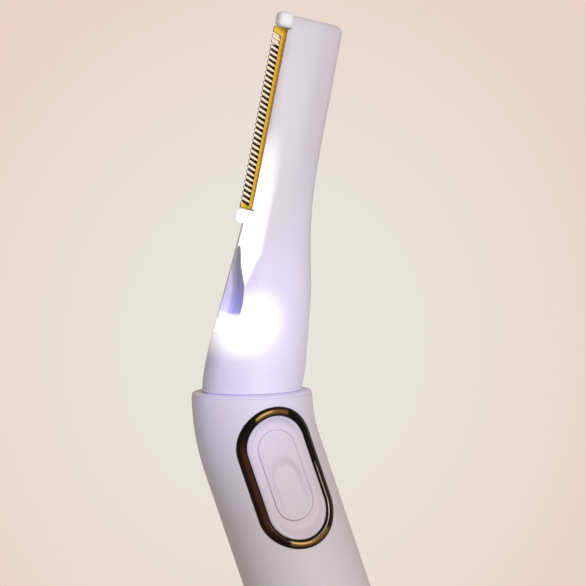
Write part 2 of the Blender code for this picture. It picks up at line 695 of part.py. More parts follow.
def chassis():
    """The inner frame: battery sleeve, bulkheads, motor cradle, board rails and lamp post."""
    sleeve_inner = CELL_RADIUS + GAP
    sleeve_outer = sleeve_inner + FRAME_WALL
    low = CAP_HEIGHT + CAP_SPIGOT + GAP
    foot = low + SLEEVE_FOOT
    profile = [(sleeve_inner, low), (frame_radius, low), (frame_radius, foot), (sleeve_outer, foot),
               (sleeve_outer, bulkhead_bottom + BULKHEAD / 2), (sleeve_inner, bulkhead_bottom + BULKHEAD / 2)]
    frame = add("chassis", turned(profile, hollow=True, steps=INNER_ROUND), inner_plastic, handle)
    bulkhead = turned([(frame_radius, bulkhead_bottom), (frame_radius, bulkhead_top)], steps=INNER_ROUND)
    cradle_inner = motor_radius + 2 * FIT
    cradle_outer = cradle_inner + CRADLE_WALL
    cradle = turned([(cradle_inner, bulkhead_top - FIT), (cradle_outer, bulkhead_top - FIT),
                     (cradle_outer, deck_bottom + FIT), (cradle_inner, deck_bottom + FIT)],
                    hollow=True, steps=INNER_ROUND, middle=(0, motor_offset))
    cradle = tool("motor_cradle", cradle, handle)
    front = box((-WIDE, -WIDE, bulkhead_bottom), (WIDE, motor_offset, deck_top))
    cut(cradle, tool("cradle_front", front, handle))
    deck = turned([(frame_radius, deck_bottom), (frame_radius, deck_top)], steps=INNER_ROUND)
    rail_front = -(board_front - BOARD_SHEET) + GAP
    rails = []
    for name, side in (("left", -1), ("right", 1)):
        ends = sorted((side * (cradle_inner + 2 * FIT), side * (board_half_width - FIT)))
        rail = box((ends[0], rail_front, board_bottom + RAIL_SHORT),
                   (ends[1], motor_offset + 2 * GAP, deck_bottom + FIT))
        rails.append(tool("board_rail_" + name, rail, handle))
    # Lamp post, drawn in the collar's frame so that the head slides off along it
    base = (COLLAR.inverted() @ Vector((0, 0, deck_bottom))).z - PAST
    post = box((-LAMP_SIDE - POST_SIDE / 2, -post_front, base),
               (-LAMP_SIDE + POST_SIDE / 2, -post_front + POST_DEPTH, LAMP_BASE - SEAM))
    post = tool("lamp_post", post, handle, COLLAR)
    below = box((-WIDE, -WIDE, 0), (WIDE, WIDE, deck_bottom + FIT))
    cut(post, tool("below_deck", below, handle))
    bulkhead = tool("cell_bulkhead", bulkhead, handle)
    join(frame, bulkhead, cradle, tool("motor_deck", deck, handle), *rails, post)
    # Openings for the shaft, the board, the contact strips and the screws
    clear = MOTOR_BOSS_RADIUS + 2 * FIT
    shaft = turned([(clear, deck_bottom - PAST), (clear, deck_top + PAST)], steps=SMALL_ROUND,
                   middle=(0, motor_offset))
    board = box((-WIDE, -WIDE, board_bottom - GAP), (WIDE, rail_front - FIT, board_top + GAP))
    strip_side = CONTACT_WIDTH / 2 + GAP
    strip = box((-strip_side, -WIDE, 0),
                (strip_side, -strip_front + CONTACT_SHEET + GAP, board_bottom + PAST))
    outer = plus_side + CONTACT_SHEET + GAP
    inner = plus_side - GAP
    plus = prism([(0, cell_top), (outer, cell_top), (outer, bulkhead_top + PAST),
                  (inner, bulkhead_top + PAST), (inner, bulkhead_bottom + FIT), (0, bulkhead_bottom + FIT)],
                 plus_front - GAP, plus_front + CONTACT_WIDTH + GAP)
    cut(frame, tool("shaft_opening", shaft, handle), tool("board_opening", board, handle),
        tool("strip_opening", strip, handle), tool("plus_opening", plus, handle))
    for name, x, z in screw_spots():
        pilot = rod(SCREW_RADIUS + FIT, rail_front - PAST, rail_front + SCREW_LENGTH, (x, z))
        cut(frame, tool("screw_pilot_" + name, pilot, handle))


def battery():
    """The cell and the strips that carry its current to the board."""
    shoulder = cell_top - CELL_NUB_HEIGHT
    chamfered = CELL_RADIUS - CHAMFER
    profile = [(chamfered, cell_bottom), (CELL_RADIUS, cell_bottom + CHAMFER),
               (CELL_RADIUS, shoulder - CHAMFER), (chamfered, shoulder),
               (CELL_NUB_RADIUS, shoulder), (CELL_NUB_RADIUS, cell_top)]
    add("battery_cell", turned(profile, steps=INNER_ROUND), cell_sleeve, handle)
    low = cell_top + GAP
    pad = turned([(PLUS_PAD_RADIUS, low), (PLUS_PAD_RADIUS, low + CONTACT_SHEET)], steps=SMALL_ROUND)
    pad = add("positive_contact", pad, bright_steel, handle)
    sheet = CONTACT_SHEET - FIT
    outer = plus_side + sheet
    arm = folded([(0, low + FIT / 2), (outer, low + FIT / 2), (outer, board_bottom - GAP)], sheet)
    arm = prism(arm, plus_front + FIT, plus_front + CONTACT_WIDTH)
    join(pad, tool("plus_arm", arm, handle))
    half = CONTACT_WIDTH / 2
    bottom = CAP_HEIGHT + CAP_SPIGOT - TAB_SHORT
    top = board_bottom + PAST
    strip = folded([(-board_front - GAP, top), (-strip_front, top), (-strip_front, bottom)], CONTACT_SHEET)
    add("negative_contact", side_prism(strip, -half, half), bright_steel, handle)


def motor():
    can = [(motor_radius, can_bottom), (motor_radius, can_top), (MOTOR_BOSS_RADIUS, can_top),
           (MOTOR_BOSS_RADIUS, can_top + MOTOR_BOSS)]
    centre = (0, motor_offset)
    body = add("motor_can", turned(can, steps=INNER_ROUND, middle=centre), bright_steel, handle)
    clear = SHAFT_RADIUS + SEAM
    bearing = turned([(clear, can_top - SHAFT_DEPTH - GAP), (clear, can_top + MOTOR_BOSS + PAST)],
                     steps=SMALL_ROUND, middle=centre)
    cut(body, tool("motor_bearing", bearing, handle))
    bell = [(motor_radius - CHAMFER, bell_bottom), (motor_radius, bell_bottom + CHAMFER),
            (motor_radius, bell_bottom + MOTOR_BELL)]
    add("motor_end_bell", turned(bell, steps=INNER_ROUND, middle=centre), inner_plastic, handle)
    shaft_top = crank_bottom + CRANK_DISC
    shaft = turned([(SHAFT_RADIUS, can_top - SHAFT_DEPTH), (SHAFT_RADIUS, shaft_top - SEAM)],
                   steps=SMALL_ROUND, middle=centre)
    add("motor_shaft", shaft, bright_steel, rotor)
    disc_top = shaft_top + CRANK_WEB / 2
    bore = SHAFT_RADIUS + FIT
    disc = [(bore, crank_bottom), (CRANK_RADIUS, crank_bottom), (CRANK_RADIUS, disc_top - CHAMFER),
            (CRANK_RADIUS - CHAMFER, disc_top), (bore, disc_top)]
    disc = add("crank", turned(disc, hollow=True, steps=INNER_ROUND, middle=centre), white_plastic, rotor)
    root = CRANK_PIN_RADIUS + CRANK_PIN_TAPER
    pin = turned([(root, shaft_top + FIT), (root, shaft_top + CRANK_DISC),
                  (CRANK_PIN_RADIUS, shaft_top + CRANK_DISC + PAST),
                  (CRANK_PIN_RADIUS, fork_bottom - PIN_SHORT)],
                 steps=SMALL_ROUND, middle=(-CRANK_THROW, motor_offset))
    web_radius = CRANK_RADIUS - 2 * CHAMFER
    web = turned([(web_radius, shaft_top), (web_radius, shaft_top + CRANK_WEB)],
                 steps=INNER_ROUND, middle=centre)
    join(disc, tool("crank_web", web, rotor), tool("crank_pin", pin, rotor))


def seal_groove(radius, bottom):
    """Profile points of a groove that takes a seal, in a wall of this radius."""
    floor = radius - SEAL_WIRE / 2
    top = bottom + SEAL_WIRE + 2 * FIT
    return [(radius, bottom), (floor, bottom), (floor, top), (radius, top)]


def seal(radius, bottom):
    """Profile of the seal in that groove, squeezed flush with the wall."""
    middle = bottom + FIT + SEAL_WIRE / 2
    across_half = SEAL_WIRE / 4
    inside = radius - SEAL_WIRE / 2 + FIT / 2
    turns = [radians(60 * i) for i in range(6)]
    return [(inside + across_half * (1 + cos(a)), middle + SEAL_WIRE / 2 * sin(a)) for a in turns]


def battery_cap():
    """The push-on end cap with its seal, contact and spring. The shaver stands on it."""
    inner = barrel_inner - 2 * FIT
    bore = inner - CAP_SPIGOT_WALL
    top = CAP_HEIGHT + CAP_SPIGOT
    corner = [(BARREL_RADIUS - CAP_CORNER * (1 - sin(a)), CAP_CORNER * (1 - cos(a)))
              for a in (radians(22.5 * i) for i in range(5))]
    groove = CAP_HEIGHT + CAP_SEAL_RISE
    outer = [*corner, (BARREL_RADIUS, CAP_HEIGHT), (inner, CAP_HEIGHT), *seal_groove(inner, groove),
             (inner, top - CHAMFER), (inner - CHAMFER, top)]
    shell = add("battery_cap", turned(outer), white_plastic, cap)
    hollow = turned([(bore, CAP_FLOOR), (bore, top + PAST)], steps=INNER_ROUND)
    cut(shell, tool("cap_hollow", hollow, cap))
    add("cap_seal", turned(seal(inner, groove), hollow=True), seal_rubber, cap)
    low = CAP_FLOOR + GAP / 2
    plate = turned([(CAP_CONTACT_RADIUS, low), (CAP_CONTACT_RADIUS, low + CONTACT_SHEET)], steps=INNER_ROUND)
    plate = add("cap_contact", plate, bright_steel, cap)
    half = CONTACT_WIDTH / 2
    tab_top = CAP_HEIGHT + CAP_SPIGOT - TAB_SHORT - GAP
    sheet = CONTACT_SHEET - FIT
    tab = folded([(-strip_front, tab_top), (-strip_front, low + FIT / 2), (0, low + FIT / 2)], sheet)
    join(plate, tool("contact_tab", side_prism(tab, -half, half), cap))
    spring_low = low + CONTACT_SHEET + GAP / 2 + SPRING_WIRE / 2
    spring_high = cell_bottom - GAP / 2 - SPRING_WIRE / 2
    coil("battery_spring", spring_low, spring_high, CELL_RADIUS - SPRING_WIRE, CELL_RADIUS / 2, cap)


def coil(name, low, high, wide, narrow, carrier):
    """A conical spring whose end turns lie flat and wind a little inwards."""
    per_turn = 10
    wind = 1.2 * SPRING_WIRE
    steps = per_turn * (SPRING_TURNS + 2)
    rings = []
    for i in range(steps + 1):
        turn = i / per_turn
        share = min(max((turn - 1) / SPRING_TURNS, 0), 1)
        flat_turns = max(1 - turn, 0) - max(turn - SPRING_TURNS - 1, 0)
        radius = wide + (narrow - wide) * share + wind * flat_turns
        height = low + (high - low) * share
        angle = 2 * pi * turn
        section = [2 * pi * k / 5 for k in range(5)]
        spots = [(radius + SPRING_WIRE / 2 * cos(a), height + SPRING_WIRE / 2 * sin(a)) for a in section]
        rings.append([(reach * cos(angle), reach * sin(angle), z) for reach, z in spots])
    add(name, skin(rings), bright_steel, carrier)


def neck_socket():
    """The insert in the collar that takes the head's spigot."""
    bore = SOCKET_RADIUS - SOCKET_WALL
    rim = BARREL_RADIUS - RIM_CORNER
    profile = [(bore, -SOCKET_DEPTH), (SOCKET_RADIUS, -SOCKET_DEPTH), (SOCKET_RADIUS, -barrel_end + SEAM),
               (rim, -barrel_end + SEAM), (rim, -barrel_end + SEAM + FLANGE_EDGE),
               (HEAD_BASE_RADIUS + FIT, -SEAM), (bore, -SEAM)]
    add("neck_socket", turned(profile, hollow=True), white_plastic, handle, COLLAR)


def lamp():
    dome_start = LAMP_BASE + LAMP_FLANGE + LAMP_BODY
    profile = [(LAMP_FLANGE_RADIUS, LAMP_BASE), (LAMP_FLANGE_RADIUS, LAMP_BASE + LAMP_FLANGE),
               (LAMP_RADIUS, LAMP_BASE + LAMP_FLANGE)]
    turns = [radians(15 * i) for i in range(6)]
    profile += [(LAMP_RADIUS * cos(a), dome_start - LAMP_RADIUS + LAMP_RADIUS * sin(a)) for a in turns]
    add("led_lamp", turned(profile, steps=SMALL_ROUND, middle=(-LAMP_SIDE, -lamp_front)),
        clear_plastic, handle, COLLAR)
    board_middle = -board_front + BOARD_SHEET / 2
    edge = (board_top + 2 * GAP - collar_middle.z - LAMP_SIDE * sin(COLLAR_TILT)) / cos(COLLAR_TILT)
    depth = -post_front - WIRE_RADIUS - GAP
    route = [(-LAMP_SIDE, board_middle, edge), (-LAMP_SIDE, (board_middle + depth) / 2, edge + LEAD_RISE),
             (-LAMP_SIDE, depth, LAMP_BASE - GAP)]
    wire("led_lead", [COLLAR @ Vector(point) for point in route], WIRE_RADIUS, lead_red, handle)
    low = (bulkhead_top + bell_bottom) / 2
    route = [(LEAD_SIDE, board_middle, board_bottom - 2 * GAP), (LEAD_SIDE, board_middle + LEAD_BEND, low),
             (LEAD_SIDE, motor_offset - LEAD_BEND, low - LEAD_SAG),
             (LEAD_SIDE, motor_offset, bell_bottom - SEAM - GAP)]
    wire("motor_lead", route, WIRE_RADIUS, lead_red, handle)


# The head's outline: for each section the left and right ends (across, along), half depth and squareness
head_stations = [
    Vector((-HEAD_BASE_RADIUS * cos(ARM_TILT - COLLAR_TILT), -HEAD_BASE_RADIUS * sin(ARM_TILT - COLLAR_TILT),
            HEAD_BASE_RADIUS * cos(ARM_TILT - COLLAR_TILT), HEAD_BASE_RADIUS * sin(ARM_TILT - COLLAR_TILT),
            HEAD_BASE_RADIUS, 2.0)),
    Vector((-0.00918, 0.0022, 0.00875, 0.0056, 0.00875, 2.0)),
    Vector((-0.00915, 0.0080, 0.00825, 0.0103, 0.0081, 2.05)),
    Vector((-0.00872, 0.0136, 0.00775, 0.0150, 0.0069, 2.15)),
    Vector((-0.00825, 0.0196, 0.0071, 0.0202, 0.00545, 2.35)),
    Vector((-0.00785, 0.0255, 0.0060, 0.0257, 0.0042, 2.6)),
    Vector((-0.00745, 0.0312, 0.0049, 0.0312, 0.0035, 3.0)),
    Vector((-ARM_LEFT, 0.0375, 0.00418, 0.0375, 0.0031, 3.4)),
    Vector((-ARM_LEFT, 0.0445, ARM_RIGHT, 0.0445, 0.00288, 3.6)),
    Vector((-ARM_LEFT, ARM_TOP - ARM_CORNER, ARM_RIGHT, ARM_TOP - ARM_CORNER, 0.0026, 3.6)),
]


def head_ring(station, inset, steps):
    left = Vector((station[0], station[1]))
    right = Vector((station[2], station[3]))
    middle = (left + right) / 2
    across_way = (right - left).normalized()
    half_width = (right - left).length / 2 - inset
    half_depth = station[4] - inset
    power = 2 / station[5]
    ring = []
    for i in range(steps):
        angle = 2 * pi * (i + 0.5) / steps
        side = half_width * abs(cos(angle)) ** power * (1 if cos(angle) > 0 else -1)
        depth = half_depth * abs(sin(angle)) ** power * (1 if sin(angle) > 0 else -1)
        spot = middle + across_way * side
        ring.append((spot.x, depth, spot.y))
    return ring


def head_solid(inset, steps, per_station):
    """The closed outer form of the head, or its hollow when inset by the wall."""
    stations = smooth_path(head_stations, per_station)
    rings = [head_ring(station, inset, steps) for station in stations]
    if inset:
        first = stations[0].copy()
        drop = Vector((-sin(ARM_TILT - COLLAR_TILT), cos(ARM_TILT - COLLAR_TILT))) * HOLLOW_DROP
        first[0] -= drop.x
        first[1] -= drop.y
        first[2] -= drop.x
        first[3] -= drop.y
        rings.insert(0, head_ring(first, inset, steps))
        return skin(rings)
    top = stations[-1]
    for angle in (radians(30), radians(60), radians(90)):
        shrunk = top.copy()
        inward = ARM_CORNER * (1 - cos(angle))
        shrunk[0] += inward / 2
        shrunk[2] -= inward
        shrunk[1] = shrunk[3] = ARM_TOP - ARM_CORNER * (1 - sin(angle))
        shrunk[4] -= inward / 2
        rings.append(head_ring(shrunk, 0, steps))
    return skin(rings)


def trough(grow):
    """The open pocket on the left of the neck that the lamp shines up. Grown, it is its wall."""
    side = -TROUGH_SIDE + grow
    floor = TROUGH_FLOOR - grow
    outline = [(-WIDE, floor)]
    outline += [(side - inward, TROUGH_FLOOR + rise) for inward, rise in TROUGH_EDGE]
    outline[1] = (outline[1][0], floor)
    top = TROUGH_FLOOR + TROUGH_EDGE[-1][1]
    if grow:
        outline.append((outline[-1][0], top + grow))
    outline.append((-WIDE, top + grow))
    return prism(outline, -WIDE, TROUGH_BACK + grow)


def blade_openings():
    """What is cut from both shells for the blade, its end blocks and the lens."""
    left = -WIDE
    right = -BLADE_ROOT + SEAM
    front = -BLADE_FRONT - SEAM
    back = BLOCK_BACK + SEAM
    lower_top = BLADE_BOTTOM - SEAM
    shapes = {
        "blade_slot": ((left, front, BLADE_BOTTOM - FIT), (right, 0, BLADE_TOP + FIT)),
        "link_slot": ((left, front, BLADE_TOP), (right, back, bar_top + SEAM)),
        "lower_block_slot": ((left, -block_front - SEAM, lower_top - LOWER_BLOCK - SEAM),
                             (right, back, lower_top + 2 * SEAM)),
        "upper_block_slot": ((left, -block_front - SEAM, BLADE_TOP - SEAM),
                             (upper_right + GAP, UPPER_BACK + SEAM, ARM_TOP + WIDE)),
        "lens_slot": ((left, -WIDE, TROUGH_FLOOR - LENS_DEPTH - SEAM),
                      (-TROUGH_SIDE + LENS_INSET, TROUGH_BACK + GAP, TROUGH_FLOOR + FIT)),
    }
    return [tool(name, box(low, high), head, ARM) for name, (low, high) in shapes.items()]


def head_shells():
    """Two shells, front and back, that meet along the edges of the arm."""
    hollow = tool("head_hollow", head_solid(HEAD_WALL, HOLLOW_ROUND, 1), head, ARM)
    cut(hollow, tool("trough_wall", trough(HEAD_WALL), head, ARM))
    pocket = tool("trough", trough(0), head, ARM)
    soften(pocket, TROUGH_ROUND, 2, 60)
    openings = blade_openings()
    shells = []
    for name, front, back in (("head_front_shell", -WIDE, -SEAM / 2), ("head_back_shell", SEAM / 2, WIDE)):
        shell = add(name, head_solid(0, HEAD_ROUND, 2), white_plastic, head, ARM)
        cut(shell, hollow)
        half = box((-WIDE, front, -WIDE), (WIDE, back, ARM_TOP + WIDE))
        keep(shell, tool(name + "_half", half, head, ARM))
        shells.append(cut(shell, pocket, *openings))
    # The boss for the lever's pin stands on the back shell and ends inside its wall
    spot = (LEVER_PIVOT, LEVER_HEIGHT)
    start = lever_front + LEVER_SHEET + GAP
    boss = tool("lever_boss", rod(LEVER_BOSS_RADIUS, start, HEAD_BASE_RADIUS, spot), head, ARM)
    keep(boss, tool("boss_limit", head_solid(HEAD_WALL / 2, HOLLOW_ROUND, 1), head, ARM))
    bore = rod(LEVER_PIN_RADIUS + FIT, start - PAST, start + LEVER_PIN_GRIP + FIT, spot)
    cut(join(shells[1], boss), tool("lever_bore", bore, head, ARM))


def lens():
    """The clear corner piece at the foot of the trough."""
    block = add("led_lens", head_solid(0, HEAD_ROUND, 2), clear_plastic, head, ARM)
    corner = box((-WIDE, -WIDE, TROUGH_FLOOR - LENS_DEPTH),
                 (-TROUGH_SIDE + LENS_INSET - SEAM, TROUGH_BACK - SEAM, TROUGH_FLOOR))
    keep(block, tool("lens_block", corner, head, ARM))


def head_spigot():
    bore = spigot_radius - SPIGOT_WALL
    inner = HEAD_BASE_RADIUS - HEAD_WALL - 2 * GAP
    groove = -SPIGOT_LENGTH + SPIGOT_SEAL_RISE
    profile = [(bore, -SPIGOT_LENGTH), (spigot_radius - GAP, -SPIGOT_LENGTH),
               (spigot_radius, -SPIGOT_LENGTH + GAP), *seal_groove(spigot_radius, groove),
               (spigot_radius, -SEAM), (inner, -SEAM), (inner, SPIGOT_RISE), (bore, SPIGOT_RISE)]
    add("head_spigot", turned(profile, hollow=True, steps=INNER_ROUND), inner_plastic, head, COLLAR)
    ring = turned(seal(spigot_radius, groove), hollow=True, steps=INNER_ROUND)
    add("neck_seal", ring, seal_rubber, head, COLLAR)


def toothed_outline(root, strip, tip, start, bottom, top):
    """A comb's outline: (across, along) points, teeth towards -x with slanted slots between them."""
    rise = (tip - strip) * tan(TOOTH_SLANT)
    half = TOOTH_SLOT / 2
    outline = [(-root, bottom), (-root, top), (-tip, top)]
    slots = []
    for i in range(TOOTH_COUNT):
        middle = start + TOOTH_PITCH * (i + 0.5)
        slots.append([(-tip, middle + rise + half), (-strip, middle + half),
                      (-strip, middle - half), (-tip, middle + rise - half)])
    for four in reversed(slots):
        outline += four
    outline.append((-tip, bottom))
    return outline


def blades():
    """The fixed comb, and the cutter that slides behind it with its teeth in the comb's slots at rest."""
    start = BLADE_BOTTOM + TOOTH_START
    comb = toothed_outline(BLADE_ROOT, BLADE_STRIP, BLADE_TIP, start, BLADE_BOTTOM, BLADE_TOP)
    add("comb_blade", prism(comb, -BLADE_FRONT, -BLADE_FRONT + COMB_SHEET), gold_plating, head, ARM, 25)
    edge = toothed_outline(carrier_right, BLADE_STRIP + FIT, BLADE_TIP - CUTTER_INSET,
                           start + TOOTH_PITCH / 2, BLADE_BOTTOM + CUTTER_SHORT, BLADE_TOP - CUTTER_SHORT)
    edge = prism(edge, cutter_front, cutter_front + CUTTER_SHEET)
    add("cutter_blade", edge, black_steel, cutter, ARM, 25)


def cutter_carrier():
    """The slide that holds the cutter, with a tail down to the lever."""
    low = BLADE_BOTTOM + CARRIER_SHORT
    body = add("cutter_carrier", box((-carrier_left, carrier_front, low),
                                     (-carrier_right, carrier_back, BLADE_TOP - CARRIER_SHORT)),
               inner_plastic, cutter, ARM)
    hook = box((-tail_left + FIT, carrier_front + FIT, low + FIT),
               (-carrier_right - FIT, tail_front + TAIL_SHEET - FIT, low + 2 * TAIL_SHEET))
    # The tail runs down flat, then steps back to the lever's depth
    high_knee = LEVER_HEIGHT + TAIL_KNEE
    low_knee = high_knee - TAIL_STEP
    foot = LEVER_HEIGHT + LEVER_TIP_RADIUS + FIT
    path = [(tail_front + TAIL_SHEET, low + TAIL_SHEET), (tail_front + TAIL_SHEET, high_knee),
            (lever_front + TAIL_SHEET, low_knee), (lever_front + TAIL_SHEET, foot)]
    tail = side_prism(folded(path, -TAIL_SHEET), -tail_left, -tail_right)
    half_fork = LEVER_TIP_RADIUS + FORK_PRONG
    fork = box((-tail_left - FIT, lever_front, LEVER_HEIGHT - half_fork),
               (-LEVER_TIP + SHORT_ARM_RADIUS, lever_front + LEVER_SHEET, LEVER_HEIGHT + half_fork))
    slot_half = LEVER_TIP_RADIUS + FIT
    mouth = box((-LEVER_TIP - LEVER_TIP_RADIUS - GAP, lever_front - PAST, LEVER_HEIGHT - slot_half),
                (0, lever_front + LEVER_SHEET + PAST, LEVER_HEIGHT + slot_half))
    join(body, tool("carrier_hook", hook, cutter, ARM), tool("carrier_tail", tail, cutter, ARM),
         tool("carrier_fork", fork, cutter, ARM))
    cut(body, tool("carrier_mouth", mouth, cutter, ARM))


def blade_frame():
    """The white moulding whose end blocks show at both ends of the comb."""
    low = BLADE_BOTTOM - SEAM - LOWER_BLOCK
    bar_left = -BLADE_ROOT - FRAME_BAR
    strip = box((bar_left, cutter_front, low + SEAM), (-BLADE_ROOT - SEAM, BLOCK_BACK - SEAM, bar_top))
    frame = add("blade_frame", strip, white_plastic, head, ARM)
    lower = box((-BLOCK_PROUD, -block_front, low), (-BLADE_ROOT, BLOCK_BACK, low + LOWER_BLOCK))
    upper = box((-BLOCK_PROUD, -block_front, BLADE_TOP + SEAM),
                (upper_right, UPPER_BACK, BLADE_TOP + UPPER_BLOCK))
    blocks = [tool("lower_block", lower, head, ARM), tool("upper_block", upper, head, ARM)]
    for block in blocks:
        soften(block, BLOCK_ROUND, 3, 60)
    link = box((-ARM_LEFT, cutter_front + FIT, BLADE_TOP + 2 * SEAM),
               (-BLADE_ROOT - 2 * SEAM, BLOCK_BACK - 2 * SEAM, bar_top - FIT))
    join(frame, *blocks, tool("upper_link", link, head, ARM))


def drive_lever():
    """The bell crank: a fork over the crank's pin, and a short arm that moves the carrier."""
    opening_top = fork_middle + FORK_REACH
    fork_spot = ARM.inverted() @ Vector((0, 0, opening_top + FORK_PRONG))
    pivot = (LEVER_PIVOT, LEVER_HEIGHT)
    tip_spot = (-LEVER_TIP, LEVER_HEIGHT)
    back = lever_front + LEVER_SHEET
    long_arm = prism(bar((fork_spot.x, fork_spot.z), pivot, LEVER_ARM_RADIUS), lever_front, back)
    body = add("drive_lever", long_arm, inner_plastic, lever, ARM)
    short = prism(bar(tip_spot, pivot, SHORT_ARM_RADIUS), lever_front, back)
    slot = CRANK_PIN_RADIUS + SEAM
    block = box((-slot - FORK_PRONG, motor_offset - FORK_WIDTH / 2, fork_bottom),
                (slot + FORK_PRONG, motor_offset + FORK_WIDTH / 2, opening_top + FORK_PRONG + GAP))
    opening = box((-slot, -WIDE, fork_bottom - PAST), (slot, WIDE, opening_top))
    block = tool("lever_fork", block, lever)
    cut(block, tool("fork_slot", opening, lever))
    join(body, tool("short_arm", short, lever, ARM),
         tool("lever_tip", rod(LEVER_TIP_RADIUS, lever_front, back, tip_spot), lever, ARM),
         tool("lever_hub", rod(LEVER_BOSS_RADIUS, lever_front, back, pivot), lever, ARM), block)
    bore = rod(LEVER_PIN_RADIUS + SEAM, lever_front - PAST, back + PAST, pivot)
    cut(body, tool("hub_bore", bore, lever, ARM))
    head_back = lever_front - GAP
    profile = [(LEVER_PIN_HEAD_RADIUS, head_back - LEVER_PIN_HEAD), (LEVER_PIN_HEAD_RADIUS, head_back),
               (LEVER_PIN_RADIUS, head_back), (LEVER_PIN_RADIUS, back + GAP + LEVER_PIN_GRIP)]
    add("lever_pin", across(profile, pivot), bright_steel, head, ARM)


def pressure_spring():
    """A bowed leaf between the back shell and the carrier, which presses the cutter on the comb."""
    low = carrier_back + SEAM
    middle = (BLADE_BOTTOM + BLADE_TOP) / 2
    left = -carrier_left + LEAF_INSET
    right = -carrier_right
    rings = []
    for i in range(13):
        share = i / 6 - 1
        y = low + LEAF_BOW * share ** 2
        z = middle + LEAF_HALF_LENGTH * share
        rings.append([(left, y, z), (right, y, z), (right, y + LEAF_SHEET, z), (left, y + LEAF_SHEET, z)])
    add("pressure_spring", skin(rings), bright_steel, head, ARM)


barrel()
switch_ring()
switch_panel()
power_button()
circuit_board()
chassis()
battery()
motor()
battery_cap()
neck_socket()
lamp()
head_shells()
lens()
head_spigot()
blades()
cutter_carrier()
blade_frame()
drive_lever()
pressure_spring()
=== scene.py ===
import json
from math import cos, pi, radians, sin, sqrt, tan

import bmesh
import bpy
from mathutils import Matrix, Vector


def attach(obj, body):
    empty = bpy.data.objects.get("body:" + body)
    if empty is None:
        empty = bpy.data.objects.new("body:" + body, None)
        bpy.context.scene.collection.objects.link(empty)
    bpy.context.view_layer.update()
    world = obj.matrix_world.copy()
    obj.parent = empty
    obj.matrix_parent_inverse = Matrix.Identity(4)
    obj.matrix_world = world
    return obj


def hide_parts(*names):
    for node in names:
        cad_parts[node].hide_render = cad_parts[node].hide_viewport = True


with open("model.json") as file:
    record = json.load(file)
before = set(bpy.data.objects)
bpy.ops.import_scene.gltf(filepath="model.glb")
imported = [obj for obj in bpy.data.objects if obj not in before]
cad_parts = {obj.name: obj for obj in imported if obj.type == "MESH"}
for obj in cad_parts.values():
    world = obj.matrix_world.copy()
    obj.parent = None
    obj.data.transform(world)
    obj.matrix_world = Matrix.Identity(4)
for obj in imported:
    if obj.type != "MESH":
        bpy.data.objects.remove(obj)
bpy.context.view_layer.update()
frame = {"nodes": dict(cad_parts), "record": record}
nodes = frame["nodes"]
print("frame loaded:", len(nodes), "nodes")

# Lighted body shaver. Metres, +Z up, the switch looks towards -Y, the blade towards -X.
# The handle's tube bends under the collar, and the head leans further over
handle = {"radius": 0.0109, "bore": 0.0093, "bendHeight": 0.085, "bendRadius": 0.033,
          "collarRun": 0.0014, "collarTilt": radians(17), "armTilt": radians(31)}
bendEnd = Vector((handle["bendRadius"] * (1 - cos(handle["collarTilt"])), 0,
                  handle["bendHeight"] + handle["bendRadius"] * sin(handle["collarTilt"])))
collarWay = Vector((sin(handle["collarTilt"]), 0, cos(handle["collarTilt"])))
collarMiddle = bendEnd + handle["collarRun"] * collarWay
collarFrame = Matrix.Translation(collarMiddle) @ Matrix.Rotation(handle["collarTilt"], 4, "Y")
armFrame = Matrix.Translation(collarMiddle) @ Matrix.Rotation(handle["armTilt"], 4, "Y")


def sectionPlane(depth):
    # the tube's section at a distance under the collar: a straight run, the bend, the straight handle
    bend = handle["bendRadius"] * handle["collarTilt"]
    if depth <= handle["collarRun"]:
        return collarFrame @ Matrix.Translation((0, 0, -depth))
    if depth < handle["collarRun"] + bend:
        angle = handle["collarTilt"] - (depth - handle["collarRun"]) / handle["bendRadius"]
        reach = Vector((handle["bendRadius"] * (1 - cos(angle)), 0,
                        handle["bendHeight"] + handle["bendRadius"] * sin(angle)))
        return Matrix.Translation(reach) @ Matrix.Rotation(angle, 4, "Y")
    return Matrix.Translation((0, 0, handle["bendHeight"] - (depth - handle["collarRun"] - bend)))


def onHandle(x, height, radius):
    # the front point of the bent tube, grown to a radius, over a spot seen from the front
    side = x
    if height > handle["bendHeight"]:
        rise = height - handle["bendHeight"]
        side = handle["bendRadius"] - sqrt((handle["bendRadius"] - x) ** 2 + rise ** 2)
    return Vector((x, -sqrt(radius ** 2 - side ** 2), height))


# The collar's rim leans a little to the front, and the pieces that meet there follow it
lip = {"rise": 0.0006, "slope": 0.07, "below": 0.0026, "above": 0.009}


def followLip(obj):
    into = collarFrame.inverted()
    for vert in obj.data.vertices:
        spot = into @ vert.co
        share = min(max(1 + spot.z / lip["below"] if spot.z < 0 else 1 - spot.z / lip["above"], 0), 1)
        spot.z += (lip["rise"] + lip["slope"] * spot.y) * share
        vert.co = collarFrame @ spot


# Shaping helpers, all in mesh code
def ringEdges(ring):
    pairs = zip(ring, ring[1:] + ring[:1])
    return [next(edge for edge in vert.link_edges if edge.other_vert(vert) == after) for vert, after in pairs]


def startRing(bm, points):
    ring = list(bmesh.ops.create_circle(bm, segments=len(points), radius=0.01)["verts"])
    for vert, point in zip(ring, points):
        vert.co = point
    return ring


def madeVerts(made):
    return [item for item in made["geom"] if isinstance(item, bmesh.types.BMVert)]


def nextRing(bm, ring, points):
    fresh = set(madeVerts(bmesh.ops.extrude_edge_only(bm, edges=ringEdges(ring))))
    following = []
    for vert, point in zip(ring, points):
        partner = next(edge.other_vert(vert) for edge in vert.link_edges if edge.other_vert(vert) in fresh)
        partner.co = point
        following.append(partner)
    return following


